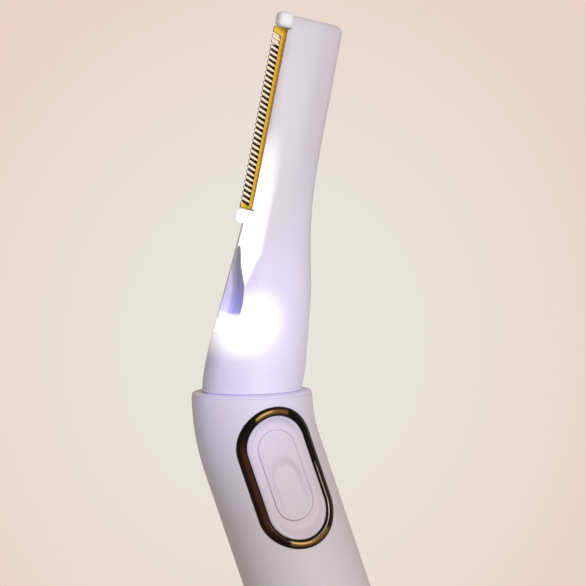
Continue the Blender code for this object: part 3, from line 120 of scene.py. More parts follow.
def loft(rings, closed=False, capped=True):
    bm = bmesh.new()
    first = ring = startRing(bm, rings[0])
    for points in rings[1:] + (rings[:1] if closed else []):
        ring = nextRing(bm, ring, points)
    if capped and not closed:
        bmesh.ops.contextual_create(bm, geom=ringEdges(first))
        bmesh.ops.contextual_create(bm, geom=ringEdges(ring))
    bmesh.ops.remove_doubles(bm, verts=bm.verts, dist=1e-7)
    bmesh.ops.recalc_face_normals(bm, faces=bm.faces)
    return bm


def circleRing(plane, radius, steps):
    return [plane @ Vector((radius * cos(2 * pi * i / steps), radius * sin(2 * pi * i / steps), 0))
            for i in range(steps)]


def spun(profile, plane, steps):
    # a ring or a solid turned round the plane's axis from (radius, height) pairs
    bm = bmesh.new()
    verts = [bm.verts.new((radius, 0, height)) for radius, height in profile]
    edges = [bm.edges.new(pair) for pair in zip(verts, verts[1:] + verts[:1])
             if pair[0].co.x + pair[1].co.x > 0]
    bmesh.ops.spin(bm, geom=verts + edges, cent=(0, 0, 0), axis=(0, 0, 1), angle=2 * pi, steps=steps,
                   use_merge=True)
    bmesh.ops.remove_doubles(bm, verts=bm.verts, dist=1e-7)
    bmesh.ops.transform(bm, matrix=plane, verts=bm.verts)
    bmesh.ops.recalc_face_normals(bm, faces=bm.faces)
    return bm


def roundedProfile(corners, steps=5):
    # (radius, height, rounding) corners of a closed profile, each rounding drawn as an arc
    profile = []
    for before, corner, after in zip(corners[-1:] + corners[:-1], corners, corners[1:] + corners[:1]):
        point = Vector(corner[:2])
        if not corner[2]:
            profile.append(tuple(point))
            continue
        back = (Vector(before[:2]) - point).normalized()
        ahead = (Vector(after[:2]) - point).normalized()
        half = back.angle(ahead) / 2
        run = corner[2] / tan(half)
        middle = point + (back + ahead).normalized() * corner[2] / sin(half)
        start, end = point + back * run - middle, point + ahead * run - middle
        turn = start.angle_signed(end)
        for i in range(steps + 1):
            angle = -turn * i / steps
            profile.append((middle.x + start.x * cos(angle) - start.y * sin(angle),
                            middle.y + start.x * sin(angle) + start.y * cos(angle)))
    return profile


def stadium(halfWidth, halfLength, arcSteps=28, sideSteps=16):
    # a round-ended outline, always with the same number of points
    run = halfLength - halfWidth
    outline = []
    for end in (1, -1):
        outline += [(end * halfWidth * cos(angle), end * (halfWidth * sin(angle) + run))
                    for angle in (pi * i / arcSteps for i in range(arcSteps + 1))]
        outline += [(-end * halfWidth, end * run * (1 - 2 * i / sideSteps)) for i in range(1, sideSteps)]
    return outline


def roundEdges(bm, edges, offset, segments):
    bmesh.ops.bevel(bm, geom=edges, offset=offset, segments=segments, profile=0.5, affect="EDGES",
                    material=-1)


def block(low, high, rounding=0.0):
    # a box along the arm, its edges rounded everywhere but round the right end
    bm = bmesh.new()
    bmesh.ops.create_cube(bm, size=1)
    bmesh.ops.scale(bm, vec=[b - a for a, b in zip(low, high)], verts=bm.verts)
    bmesh.ops.translate(bm, vec=[(a + b) / 2 for a, b in zip(low, high)], verts=bm.verts)
    if rounding:
        edges = [edge for edge in bm.edges if min(vert.co.x for vert in edge.verts) < high[0] - 1e-7]
        roundEdges(bm, edges, rounding, 6)
    bmesh.ops.transform(bm, matrix=armFrame, verts=bm.verts)
    return bm


def piece(name, bm, finish=None, sharp=35):
    mesh = bpy.data.meshes.new(name)
    bm.to_mesh(mesh)
    bm.free()
    obj = bpy.data.objects.new(name, mesh)
    bpy.context.scene.collection.objects.link(obj)
    if finish:
        mesh.materials.append(finish)
    mesh.shade_smooth()
    mesh.set_sharp_from_angle(angle=radians(sharp))
    return obj


def carve(obj, steps):
    # applies Boolean steps, (operation, tool), and takes the tools away. The solver gives the same
    # result each run, and a cut face takes the tool's finish, or else the object's
    for operation, tool in steps:
        if obj.data.materials and not tool.data.materials:
            tool.data.materials.append(obj.data.materials[0])
        modifier = obj.modifiers.new(tool.name, "BOOLEAN")
        modifier.operation = operation
        modifier.solver = "MANIFOLD"
        modifier.material_mode = "TRANSFER"
        modifier.object = tool
    bpy.context.view_layer.update()
    cutMesh = bpy.data.meshes.new_from_object(obj.evaluated_get(bpy.context.evaluated_depsgraph_get()))
    obj.modifiers.clear()
    obj.data = cutMesh
    for operation, tool in steps:
        bpy.data.objects.remove(tool, do_unlink=True)
    bm = bmesh.new()
    bm.from_mesh(cutMesh)
    bmesh.ops.remove_doubles(bm, verts=bm.verts, dist=1e-6)
    bmesh.ops.dissolve_degenerate(bm, edges=bm.edges, dist=1e-7)
    for face in bm.faces:
        face.material_index = max(face.material_index, 0)
    bm.to_mesh(cutMesh)
    bm.free()
    cutMesh.shade_smooth()
    cutMesh.set_sharp_from_angle(angle=radians(35))


def softEdges(obj, width):
    modifier = obj.modifiers.new("soft_edges", "BEVEL")
    modifier.width = width
    modifier.segments = 2
    modifier.limit_method = "ANGLE"
    modifier.angle_limit = radians(50)
    modifier.harden_normals = True


def fit(obj, body, *replaced):
    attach(obj, body)
    if replaced:
        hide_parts(*replaced)


# Finishes, built node by node
class Wire:
    # a node's output: an expression on it adds the Math nodes
    def __init__(self, finish, socket):
        self.finish = finish
        self.socket = socket

    def maths(self, operation, first, second=0.0):
        return self.finish.add("ShaderNodeMath", {"operation": operation}, {0: first, 1: second})

    def __add__(self, other):
        return self.maths("ADD", self, other)

    def __sub__(self, other):
        return self.maths("SUBTRACT", self, other)

    def __rsub__(self, other):
        return self.maths("SUBTRACT", other, self)

    def __mul__(self, other):
        return self.maths("MULTIPLY", self, other)

    def __truediv__(self, other):
        return self.maths("DIVIDE", self, other)

    def __rtruediv__(self, other):
        return self.maths("DIVIDE", other, self)

    def __pow__(self, other):
        return self.maths("POWER", self, other)

    def __abs__(self):
        return self.maths("ABSOLUTE", self)

    __radd__ = __add__
    __rmul__ = __mul__

    def above(self, other):
        return self.maths("MAXIMUM", self, other)

    def below(self, other):
        return self.maths("MINIMUM", self, other)

    def clamped(self):
        return self.below(1.0).above(0.0)

    def rise(self, start, run):
        # 0 up to the start, then up to 1 over the run
        return ((self - start) / run).clamped()

    def fall(self, end, run):
        # down from 1 to 0 over the run before the end
        return ((end - self) / run).clamped()


class Finish:
    # one material, or the world where a tree is given
    def __init__(self, name, tree=None):
        if not tree:
            self.material = bpy.data.materials.new(name)
            self.material.use_nodes = True
            tree = self.material.node_tree
        self.tree = tree
        self.tree.nodes.clear()

    def add(self, kind, settings, sockets, output=0):
        node = self.tree.nodes.new(kind)
        for key, value in settings.items():
            setattr(node, key, value)
        for key, value in sockets.items():
            if isinstance(value, Wire):
                self.tree.links.new(value.socket, node.inputs[key])
            else:
                node.inputs[key].default_value = value
        return Wire(self, node.outputs[output])

    def spot(self):
        return self.add("ShaderNodeTexCoord", {}, {}, "Object")

    def armSpot(self):
        # object coordinates turned into the head's own, from the collar up along the arm
        return self.add("ShaderNodeMapping", {"vector_type": "TEXTURE"}, {
            "Vector": self.spot(), "Location": collarMiddle, "Rotation": (0, handle["armTilt"], 0)})

    def parts(self, vector):
        split = self.add("ShaderNodeSeparateXYZ", {}, {0: vector})
        return [Wire(self, socket) for socket in split.socket.node.outputs]

    def measure(self, operation, first, second):
        return self.add("ShaderNodeVectorMath", {"operation": operation}, {0: first, 1: second}, "Value")

    def mix(self, share, first, second):
        return self.add("ShaderNodeMix", {"data_type": "RGBA"}, {0: share, 6: first, 7: second}, 2)

    def noise(self, scale, detail=2.0, spot=None):
        return self.add("ShaderNodeTexNoise", {},
                        {"Vector": spot or self.spot(), "Scale": scale, "Detail": detail})

    def stretched(self, scale, turn=(0, 0, 0)):
        return self.add("ShaderNodeMapping", {}, {"Vector": self.spot(), "Rotation": turn, "Scale": scale})

    def bump(self, height, distance, strength=1.0):
        return self.add("ShaderNodeBump", {}, {"Strength": strength, "Distance": distance, "Height": height})

    def output(self, shader, kind="ShaderNodeOutputMaterial"):
        node = self.tree.nodes.new(kind)
        self.tree.links.new(shader.socket, node.inputs["Surface"])

    def done(self, sockets):
        self.output(self.add("ShaderNodeBsdfPrincipled", {}, sockets))
        return self.material


def linear(red, green, blue):
    # a colour as a picture shows it, 0 to 255, in the renderer's values
    return tuple(((c / 255 + 0.055) / 1.055) ** 2.4 if c > 10 else c / 255 / 12.92
                 for c in (red, green, blue)) + (1.0,)


# The lamp's light painted on the head's plastic as emission, in metres across (x), deep (y) and along (z)
# the arm. A pair of values is where a ramp starts or ends, and its run
paintedGlow = {"middle": (-0.0051, -0.006, 0.0109), "wide": 0.0051, "up": 0.006, "down": 0.0047, "tilt": 0.36,
        "coreReach": 1.5, "front": (0.003, 0.003), "dark": (0.0, 0.0, 0.0, 1.0),
        "halo": (0.20, 0.20, 0.42, 1.0), "haloReach": (0.0345, 0.03), "haloFace": (0.0018, 0.006),
        "haloSide": (0.0154, 0.014), "nearHalo": (0.32, 0.34, 0.36, 1.0), "nearReach": (0.009, 0.009),
        "wash": (0.09, 0.09, 0.1, 1.0), "washSide": (0.0006, 0.0025), "washStart": (0.018, 0.012),
        "washEnd": (0.076, 0.02), "bandEdge": -0.0049, "bandDip": 0.0014, "bandLow": 0.0194,
        "bandSlope": 0.25, "bandSoft": 0.0008, "bandSpread": 0.12, "bandSoftest": 0.003,
        "bandSharpest": 0.0006, "bandStart": (0.0165, 0.002), "bandEnd": (0.048, 0.014),
        "bandFace": (0.00012, 0.0006)}
white = (1.0, 1.0, 1.0, 1.0)


def paintedLampLight(finish):
    # painted light: the lamp's spill painted as emission, a white core, a white band up beside the blade, a
    # faint white wash over the arm's left half and a lavender halo round them
    place = finish.armSpot()
    x, y, z = finish.parts(place)
    front = y.fall(*paintedGlow["front"])
    across = x - paintedGlow["middle"][0]
    lift = z - paintedGlow["middle"][2] - paintedGlow["tilt"] * across
    upward = lift.above(0.0) / paintedGlow["up"] - lift.below(0.0) / paintedGlow["down"]
    core = (paintedGlow["coreReach"] - ((across / paintedGlow["wide"]) ** 2.0 + upward ** 2.0) ** 0.5).above(0.0)
    core = (core ** 2.0).clamped() * front
    over = z - paintedGlow["bandLow"]
    edge = (paintedGlow["bandEdge"] - paintedGlow["bandDip"] + paintedGlow["bandSlope"] * over).below(paintedGlow["bandEdge"])
    soft = paintedGlow["bandSoft"] + paintedGlow["bandSpread"] * over
    soft = soft.above(paintedGlow["bandSharpest"]).below(paintedGlow["bandSoftest"])
    fade = z.fall(*paintedGlow["bandEnd"]) * z.rise(*paintedGlow["bandStart"]) * y.fall(*paintedGlow["bandFace"])
    band = ((edge - x) / soft + 0.5).clamped() * fade
    away = finish.measure("DISTANCE", place, paintedGlow["middle"])
    halo = away.fall(*paintedGlow["haloReach"]) * y.fall(*paintedGlow["haloFace"]) * x.fall(*paintedGlow["haloSide"])
    tint = finish.mix(away.fall(*paintedGlow["nearReach"]), paintedGlow["halo"], paintedGlow["nearHalo"])
    wash = x.fall(*paintedGlow["washSide"]) * z.rise(*paintedGlow["washStart"]) * z.fall(*paintedGlow["washEnd"]) * front
    rest = finish.mix(wash * (1.0 - halo), finish.mix(halo, paintedGlow["dark"], tint), paintedGlow["wash"])
    return finish.mix(core.above(band), rest, white)


def mouldedPlastic(name, look):
    # smooth plastic with the faint mottle and flow of a moulding
    finish = Finish(name)
    cloud = finish.noise(look.get("cloudScale", 70.0))
    flow = finish.noise(1.0, 3.0, finish.stretched((120.0, 120.0, 400.0), (0, handle["armTilt"], 0)))
    sockets = {
        "Base Color": finish.mix(cloud, look["colour"], look["shade"]),
        "Roughness": look["roughness"] + 0.04 * (flow - 0.5),
        "Specular IOR Level": look.get("specular", 0.3),
        "Normal": finish.bump(flow, 0.00002, 0.1),
    }
    # painted lamp light: the lamp's spill painted as emission on this plastic
    if look.get("lit"):
        sockets["Emission Color"] = paintedLampLight(finish)
        sockets["Emission Strength"] = 1.0
    return finish.done(sockets)


def troughPaintedShade():
    # painted shade and light in the trough: painted grey shade at its top, painted lavender shade lower down,
    # a painted white glow at the lamp as emission, and a painted lighter back wall
    finish = Finish("trough_painted_shade")
    x, y, z = finish.parts(finish.armSpot())
    height = (z - trough["shadeLow"]) / trough["shadeTall"]
    colour = finish.mix((height * 1.8).clamped(), linear(184, 178, 238), linear(178, 172, 200))
    colour = finish.mix((height * 1.7 - 0.7).clamped(), colour, linear(196, 192, 194))
    paintedLightBackWall = y.rise(trough["back"] / 2, 0.000125)
    paintedLampGlowMask = (1.0 - height * 16.0).clamped()
    low = finish.mix((1.0 - height).clamped(), paintedGlow["dark"], (0.05, 0.045, 0.16, 1.0))
    return finish.done({
        "Base Color": finish.mix(0.45 * paintedLightBackWall, colour, linear(232, 228, 240)),
        "Roughness": 0.34 + 0.04 * finish.noise(90.0),
        "Specular IOR Level": 0.3,
        "Emission Color": finish.mix(paintedLampGlowMask, low, white),
        "Emission Strength": 1.0,
    })


def platedMetal(name, look):
    # polished or brushed plating, with colour that drifts a little and faint wear
    finish = Finish(name)
    drift = finish.noise(look["driftScale"])
    lines = finish.noise(1.0, 3.0, finish.stretched(look["grain"], look.get("turn", (0, 0, 0))))
    return finish.done({
        "Base Color": finish.mix(drift, look["colour"], look["shade"]),
        "Metallic": 1.0,
        "Roughness": look["roughness"] + look["spread"] * (lines - 0.5),
        "Normal": finish.bump(lines, 0.00001, look["relief"]),
    })


def bronzePlatingPaintedGlints():
    # bronze plating with painted reflections: painted shade darkens both flanks of the bead round a bronze
    # crown, painted highlights make warmer stretches at its upper left and lower right, the left side is
    # painted a lighter brown, and a pale painted highlight line runs round the inner lower right
    finish = Finish("bronze_plating")
    x, y, z = finish.parts(finish.spot())
    rise = z - switchHeight
    radius = switch["halfWidth"] - switch["band"] / 2
    run = switch["halfLength"] - switch["halfWidth"]
    over = (abs(rise) - run).above(0.0)
    across = ((x ** 2.0 + over ** 2.0) ** 0.5 - radius) * (2 / switch["band"])
    # painted shade: the bead's flanks are painted dark, its crown bronze
    crown = (1.35 - 1.9 * abs(across + 0.05)).clamped()
    turn = finish.add("ShaderNodeMath", {"operation": "ARCTAN2"}, {0: rise, 1: x})
    drift = finish.noise(260.0) - 0.5

    def stretch(middle, reach, ease):
        return ((reach - abs(turn - radians(middle)) + 0.15 * drift) * (1 / ease)).clamped()

    # painted light: the crown's left side is painted a lighter brown
    left = abs(turn).rise(radians(118), 0.25)
    # painted highlights: warmer stretches at the upper left and lower right
    paintedGlints = stretch(87, 0.29, 0.03).above(stretch(-89, 0.34, 0.03))
    # painted highlight: a pale line round the inner lower right
    paintedHighlightLine = (1.0 - abs(across + 0.55) * 5.0).clamped() * stretch(-40, 0.9, 0.3)
    crownColour = finish.mix(left, linear(28, 20, 16), linear(68, 44, 26))
    crownColour = finish.mix(paintedGlints, crownColour, linear(118, 92, 52))
    colour = finish.mix(crown, linear(20, 13, 10), crownColour)
    return finish.done({
        "Base Color": finish.mix(0.8 * paintedHighlightLine, colour, linear(190, 184, 180)),
        "Metallic": 0.85,
        "Roughness": 0.24 + 0.08 * drift,
        "Specular IOR Level": 0.25,
    })


def goldPlatingPaintedLight():
    # brushed gold with a lighter and a darker random tone along the strip; a painted shadow under the arm's
    # lip at the strip's right edge, painted highlights on the pale, less metallic tooth tips and painted
    # shade on the slot sides
    finish = Finish("gold_plating")
    x, y, z = finish.parts(finish.armSpot())
    drift = finish.noise(240.0)
    lines = finish.noise(1.0, 3.0, finish.stretched((5000.0, 5000.0, 300.0), (0, handle["armTilt"], 0)))
    strip = finish.mix(drift, linear(148, 124, 46), linear(138, 114, 38))
    # painted shadow: the strip darkens under the arm's lip at its right edge
    strip = finish.mix(x.rise(-blade["groove"], 0.0001), strip, linear(124, 86, 24))
    outer = x.fall(-blade["strip"] - 0.00005, 0.0002)
    # painted highlight: the tooth tips are painted pale and less metallic
    teeth = outer * z.fall(blade["high"] - 0.0014, 0.0002) * z.rise(blade["low"] + 0.0009, 0.0002)
    colour = finish.mix(teeth, strip, linear(230, 212, 184))
    # painted shade on the slot sides
    paintedSlotShade = y.rise(0.00007 - blade["front"], 0.00003) * outer
    return finish.done({
        "Base Color": finish.mix(paintedSlotShade, colour, linear(24, 15, 9)),
        "Metallic": 1.0 - 0.8 * teeth,
        "Roughness": 0.42 + 0.12 * (lines - 0.5),
        "Normal": finish.bump(lines, 0.00001, 0.2),
    })


def lensPlastic():
    finish = Finish("lens_plastic")
    haze = finish.noise(500.0, 2.0)
    return finish.done({
        "Base Color": finish.mix(haze, (1.0, 1.0, 1.0, 1.0), (0.9, 0.92, 1.0, 1.0)),
        "Roughness": 0.12 + 0.1 * haze,
        "Emission Color": finish.mix(haze, (1.0, 1.0, 1.0, 1.0), (0.86, 0.88, 1.0, 1.0)),
        "Emission Strength": 3.0,
    })


def sealRubber():
    finish = Finish("seal_rubber")
    dust = finish.noise(900.0, 3.0)
    return finish.done({"Base Color": finish.mix(dust, linear(40, 40, 42), linear(58, 57, 58)),
                        "Roughness": 0.62 + 0.2 * dust, "Normal": finish.bump(dust, 0.00002, 0.3)})


def boardLacquer():
    # green lacquer, darker over the bare laminate between faint tracks
    finish = Finish("board_lacquer")
    tracks = finish.add("ShaderNodeTexWave", {"wave_type": "BANDS", "bands_direction": "Z"},
                        {"Vector": finish.spot(), "Scale": 260.0, "Distortion": 6.0, "Detail": 1.0})
    raised = tracks.rise(0.62, 0.125)
    return finish.done({"Base Color": finish.mix(raised, linear(22, 84, 48), linear(52, 128, 70)),
                        "Roughness": 0.38 + 0.1 * finish.noise(600.0), "Coat Weight": 0.3,
                        "Normal": finish.bump(raised, 0.00003, 0.5)})


def cellSleeve():
    # a plain shrink sleeve: dark below, copper coloured above a fixed height
    finish = Finish("cell_sleeve")
    height = finish.parts(finish.spot())[2]
    above = height.rise(0.0405, 0.00025)
    wrinkle = finish.noise(1.0, 2.0, finish.stretched((500.0, 500.0, 60.0)))
    sleeve = finish.mix(above, linear(38, 42, 50), linear(196, 124, 74))
    steel = height.rise(0.0521, 0.000167)
    return finish.done({"Base Color": finish.mix(steel, sleeve, linear(200, 200, 204)),
                        "Metallic": (0.25 + above * 0.45 + steel).clamped(),
                        "Roughness": 0.3 + 0.12 * wrinkle, "Normal": finish.bump(wrinkle, 0.00002, 0.3)})


def leadCover():
    finish = Finish("lead_cover")
    scuff = finish.noise(1400.0, 3.0)
    return finish.done({"Base Color": finish.mix(scuff, linear(176, 34, 28), linear(150, 26, 24)),
                        "Roughness": 0.42 + 0.15 * scuff, "Normal": finish.bump(scuff, 0.00001, 0.3)})


# the handle, head, panel and block plastics are lit with painted lamp light as emission
shellPlastic = mouldedPlastic("shell_plastic", {
    "colour": linear(226, 215, 217), "shade": linear(222, 210, 213), "roughness": 0.38, "specular": 0.2,
    "lit": True})
headPlastic = mouldedPlastic("head_plastic", {
    "colour": linear(225, 215, 221), "shade": linear(221, 210, 217), "roughness": 0.36, "specular": 0.2,
    "lit": True})
panelPlastic = mouldedPlastic("panel_plastic", {
    "colour": linear(222, 208, 214), "shade": linear(219, 205, 210), "roughness": 0.36, "specular": 0.25,
    "lit": True})
blockPlastic = mouldedPlastic("block_plastic", {
    "colour": linear(250, 245, 243), "shade": linear(247, 241, 240), "roughness": 0.3, "lit": True})
innerPlastic = mouldedPlastic("inner_plastic", {
    "colour": linear(196, 197, 200), "shade": linear(184, 185, 189), "roughness": 0.48, "cloudScale": 160.0})
darkSteel = platedMetal("dark_steel", {
    "colour": linear(30, 24, 20), "shade": linear(20, 16, 14), "roughness": 0.4, "spread": 0.15,
    "relief": 0.2, "driftScale": 300.0, "grain": (3000.0, 3000.0, 500.0), "turn": (0, handle["armTilt"], 0)})
brightSteel = platedMetal("bright_steel", {
    "colour": linear(206, 206, 208), "shade": linear(188, 188, 192), "roughness": 0.22, "spread": 0.12,
    "relief": 0.2, "driftScale": 220.0, "grain": (400.0, 400.0, 2400.0)})
lensClear, rubber, lacquer = lensPlastic(), sealRubber(), boardLacquer()
sleeve, lead = cellSleeve(), leadCover()
print("finishes made")


# Handle tube with its bead, panel, button, insert and cap
tube = {"steps": 160, "low": 0.01415, "rimDepth": 0.00074, "rimCorner": 0.00015, "bendRings": 22,
        "straightRings": 24, "lowCorner": 0.00012, "seatSeam": 0.00006, "seatDepth": 0.00095,
        "socket": 0.00915, "socketDepth": 0.0045, "toolFront": 0.0129, "toolBack": 0.004, "toolTop": 0.0003}
switch = {"halfWidth": 0.00715, "halfLength": 0.01305, "drop": 0.01525, "band": 0.0016, "proud": 0.0005,
          "foot": 0.00095, "panelRim": 0.0005}
switchHeight = collarMiddle.z - switch["drop"]


def handleTube():
    steps, corner = tube["steps"], tube["rimCorner"]
    bendDepth = handle["collarRun"] + handle["bendRadius"] * handle["collarTilt"]
    down = [tube["rimDepth"] + corner + (bendDepth - tube["rimDepth"] - corner) * i / tube["bendRings"]
            for i in range(tube["bendRings"] + 1)]
    bottom = bendDepth + handle["bendHeight"] - tube["low"]
    straight = tube["straightRings"]
    down += [bendDepth + (bottom - bendDepth) * i / straight for i in range(1, straight)]
    outer = [(handle["radius"] - corner * (1 - sin(angle)), tube["rimDepth"] + corner * (1 - cos(angle)))
             for angle in (radians(22.5 * i) for i in range(4))]
    outer += [(handle["radius"], depth) for depth in down]
    outer += [(handle["radius"], bottom - tube["lowCorner"]), (handle["radius"] - tube["lowCorner"], bottom)]
    inner = [(handle["bore"], depth)
             for depth in [bottom] + down[:tube["bendRings"] + 1][::-1] + [tube["rimDepth"]]]
    rings = [circleRing(sectionPlane(depth), radius, steps) for radius, depth in outer + inner]
    obj = piece("handle_tube", loft(rings, closed=True), shellPlastic)
    # the seat that the plated bead sits in, and the window behind the panel
    seam = tube["seatSeam"]

    def switchTool(name, grow):
        shape = stadium(switch["halfWidth"] + grow, switch["halfLength"] + grow)
        return piece(name, loft([[Vector((x, -depth, z + switchHeight)) for x, z in shape]
                                 for depth in (tube["toolFront"], tube["toolBack"])]))

    seat = switchTool("seat", seam)
    floorRadius = handle["radius"] - tube["seatDepth"] - seam
    floorDepths = [tube["rimDepth"] + (bendDepth - tube["rimDepth"]) * i / tube["bendRings"]
                   for i in range(tube["bendRings"] + 1)] + [bottom]
    core = piece("core", loft([circleRing(sectionPlane(depth), floorRadius, steps) for depth in floorDepths]))
    carve(seat, [("DIFFERENCE", core)])
    window = switchTool("window", -switch["band"] - switch["panelRim"])
    bore = piece("bore", loft([circleRing(collarFrame @ Matrix.Translation((0, 0, z)), tube["socket"], 96)
                               for z in (-tube["socketDepth"], tube["toolTop"])]))
    carve(obj, [("DIFFERENCE", bore), ("DIFFERENCE", seat), ("DIFFERENCE", window)])
    followLip(obj)
    fit(obj, "handle", "barrel")


def platedBead():
    half = switch["band"] / 2
    dome = [(half * cos(pi * i / 14), switch["proud"] * sin(pi * i / 14)) for i in range(15)]
    profile = dome + [(-half, -switch["foot"] / 2), (-half, -switch["foot"]), (half, -switch["foot"]),
                      (half, -switch["foot"] / 2)]
    rings = []
    for offset, rise in profile:
        outline = stadium(switch["halfWidth"] - half + offset, switch["halfLength"] - half + offset, 48, 26)
        rings.append([onHandle(x, z + switchHeight, handle["radius"] + rise) for x, z in outline])
    obj = piece("switch_bead", loft(rings, closed=True), bronzePlatingPaintedGlints(), 60)
    fit(obj, "handle", "switch_ring")


panel = {"floor": 0.0093, "sheet": 0.0012, "flat": 0.0009, "dish": 0.0018, "rings": 14, "buttonDrop": 0.0148,
         "seam": 0.00006, "buttonGap": 0.00006, "edge": 0.0001, "sunk": 0.0001,
         "ease": 0.0005}
button = {"halfWidth": 0.00352, "halfLength": 0.0084, "face": 0.0095, "back": 0.00725, "flange": 0.0005,
          "flangeFront": 0.00795, "corner": 0.00022, "faceRings": 20,
          "thumbHalfWidth": 0.0031, "thumbTop": 0.0027, "thumbDepth": 0.0008, "thumbEdge": 0.0005,
          "thumbSide": 0.0013}
buttonHeight = collarMiddle.z - panel["buttonDrop"]


def dishedPanel():
    seam, gap, edge = panel["seam"], panel["buttonGap"], panel["edge"]
    rim = (switch["halfWidth"] - switch["band"] - seam, switch["halfLength"] - switch["band"] - seam)
    plug = (rim[0] - switch["panelRim"], rim[1] - switch["panelRim"])
    hole = (button["halfWidth"] + gap, button["halfLength"] + gap)
    floor = (button["halfWidth"] + panel["flat"], button["halfLength"] + panel["flat"])
    back = panel["floor"] - panel["sheet"]
    face = handle["radius"] - panel["sunk"]
    rimBack = handle["radius"] - switch["foot"]

    def around(size, height, radius=None, depth=0.0):
        loop = []
        for x, z in stadium(*size):
            point = onHandle(x, z + height, radius) if radius else Vector((x, -depth, z + height))
            if radius and depth:
                # the dish eases into the handle's curve at its sides
                share = min(max(0.5 + 0.5 * (depth + point.y) / panel["ease"], 0), 1)
                point.y = point.y * share - depth * (1 - share) + panel["ease"] * share * (1 - share)
            loop.append(point)
        return loop

    rings = [around(rim, switchHeight, rimBack), around(rim, switchHeight, face - 0.0001)]
    for i in range(panel["rings"], -1, -1):
        share = i / (panel["rings"] + 0.8)
        size = [low + share * (high - low) for low, high in zip(floor, rim)]
        height = buttonHeight + share * (switchHeight - buttonHeight)
        rings.append(around(size, height, face, panel["floor"] + panel["dish"] * share ** 2))
    rings += [around((hole[0] + edge, hole[1] + edge), buttonHeight, None, panel["floor"]),
              around(hole, buttonHeight, None, panel["floor"] - edge),
              around(hole, buttonHeight, None, back), around(floor, buttonHeight, None, back),
              around(plug, switchHeight, rimBack - switch["panelRim"], back + panel["dish"] / 2),
              around(plug, switchHeight, rimBack)]
    obj = piece("dished_panel", loft(rings, closed=True), panelPlastic)
    fit(obj, "handle", "switch_panel")


def thumbHollow(x, z):
    # how far the pad sinks: more and more up to a round edge
    run = button["halfLength"] + button["thumbTop"]
    along = z + button["halfLength"]
    middle = run - button["thumbHalfWidth"]
    reach = sqrt(x ** 2 + (along - middle) ** 2) if along > middle else abs(x)
    edge = button["thumbEdge"] + button["thumbSide"] * (x / button["thumbHalfWidth"]) ** 2
    inside = min(max((button["thumbHalfWidth"] - reach) / edge, 0), 1)
    return button["thumbDepth"] * min(max(along / run, 0), 1) * inside * inside * (3 - 2 * inside)


def pushButton():
    def around(inset, depth, grow=0.0):
        halfWidth = max(button["halfWidth"] + grow - inset, 0)
        halfLength = button["halfLength"] + grow - inset
        return [Vector((x, -depth, z + buttonHeight)) for x, z in stadium(halfWidth, halfLength)]

    corner = button["corner"]
    rings = [around(0, button["back"], button["flange"]), around(0, button["flangeFront"], button["flange"]),
             around(0, button["flangeFront"])]
    rings += [around(corner * (1 - cos(angle)), button["face"] - corner * (1 - sin(angle)))
              for angle in (radians(15 * i) for i in range(7))]
    for i in range(1, button["faceRings"] + 1):
        inset = corner + (button["halfWidth"] - corner) * i / button["faceRings"]
        loop = around(inset, button["face"])
        for point in loop:
            point.y += thumbHollow(point.x, point.z - buttonHeight)
        rings.append(loop)
    bm = loft(rings, capped=False)
    bmesh.ops.holes_fill(bm, edges=[edge for edge in bm.edges if edge.is_boundary])
    bmesh.ops.recalc_face_normals(bm, faces=bm.faces)
    obj = piece("push_button", bm, panelPlastic, 50)
    fit(obj, "button", "power_button")


collar = {"bore": 0.0081, "neck": 0.009, "flange": 0.0108, "low": -0.0042, "flangeLow": -0.0007,
          "flangeTop": -0.00018, "top": -0.00015, "rounding": 0.0004}


def collarInsert():
    corners = [(collar["bore"], collar["low"], 0), (collar["neck"], collar["low"], 0),
               (collar["neck"], collar["flangeLow"], 0), (collar["flange"], collar["flangeLow"], 0.00005),
               (collar["flange"], collar["flangeTop"], collar["rounding"]),
               (collar["bore"], collar["top"], 0)]
    obj = piece("collar_insert", spun(roundedProfile(corners), collarFrame, 160), shellPlastic)
    followLip(obj)
    fit(obj, "handle", "neck_socket")


cap = {"radius": 0.0109, "height": 0.014, "corner": 0.0024, "spigot": 0.0091, "top": 0.02, "bore": 0.0079,
       "floor": 0.002}


def batteryCap():
    corners = [(0.0, 0.0, 0), (cap["radius"], 0.0, cap["corner"]), (cap["radius"], cap["height"], 0.00012),
               (cap["spigot"], cap["height"], 0), (cap["spigot"], cap["top"], 0.0004),
               (cap["bore"], cap["top"], 0.0001), (cap["bore"], cap["floor"], 0.0003), (0.0, cap["floor"], 0)]
    obj = piece("battery_end_cap", spun(roundedProfile(corners, 10), Matrix.Identity(4), 160), shellPlastic)
    fit(obj, "cap", "battery_cap")


handleTube()
platedBead()
dishedPanel()
pushButton()
collarInsert()
batteryCap()
print("handle, switch and cap made")


# Leaning head: sections from the round base to the squared tip, as left x and z, right x and z, half
# depth and squareness
lean = handle["armTilt"] - handle["collarTilt"]
baseRadius = 0.009
headSections = [
    (-baseRadius * cos(lean), -baseRadius * sin(lean), baseRadius * cos(lean), baseRadius * sin(lean),
     baseRadius, 2.0),
    (-0.00918, 0.0022, 0.00875, 0.0056, 0.00875, 2.0),
    (-0.00915, 0.0080, 0.00825, 0.0103, 0.0081, 2.05),
    (-0.00872, 0.0136, 0.00775, 0.0150, 0.0069, 2.15),
    (-0.00825, 0.0196, 0.0071, 0.0202, 0.00545, 2.35),
    (-0.00785, 0.0255, 0.0060, 0.0257, 0.0042, 2.6),
    (-0.00745, 0.0312, 0.0049, 0.0312, 0.0035, 3.0),
    (-0.0073, 0.0375, 0.00418, 0.0375, 0.0031, 3.4),
    (-0.0073, 0.0445, 0.0039, 0.0445, 0.00288, 3.6),
    (-0.0073, 0.0668, 0.00388, 0.0668, 0.0026, 3.6),
]
headForm = {"wall": 0.0011, "steps": 120, "between": 8, "top": 0.0682, "corner": 0.0014, "seam": 0.00001}
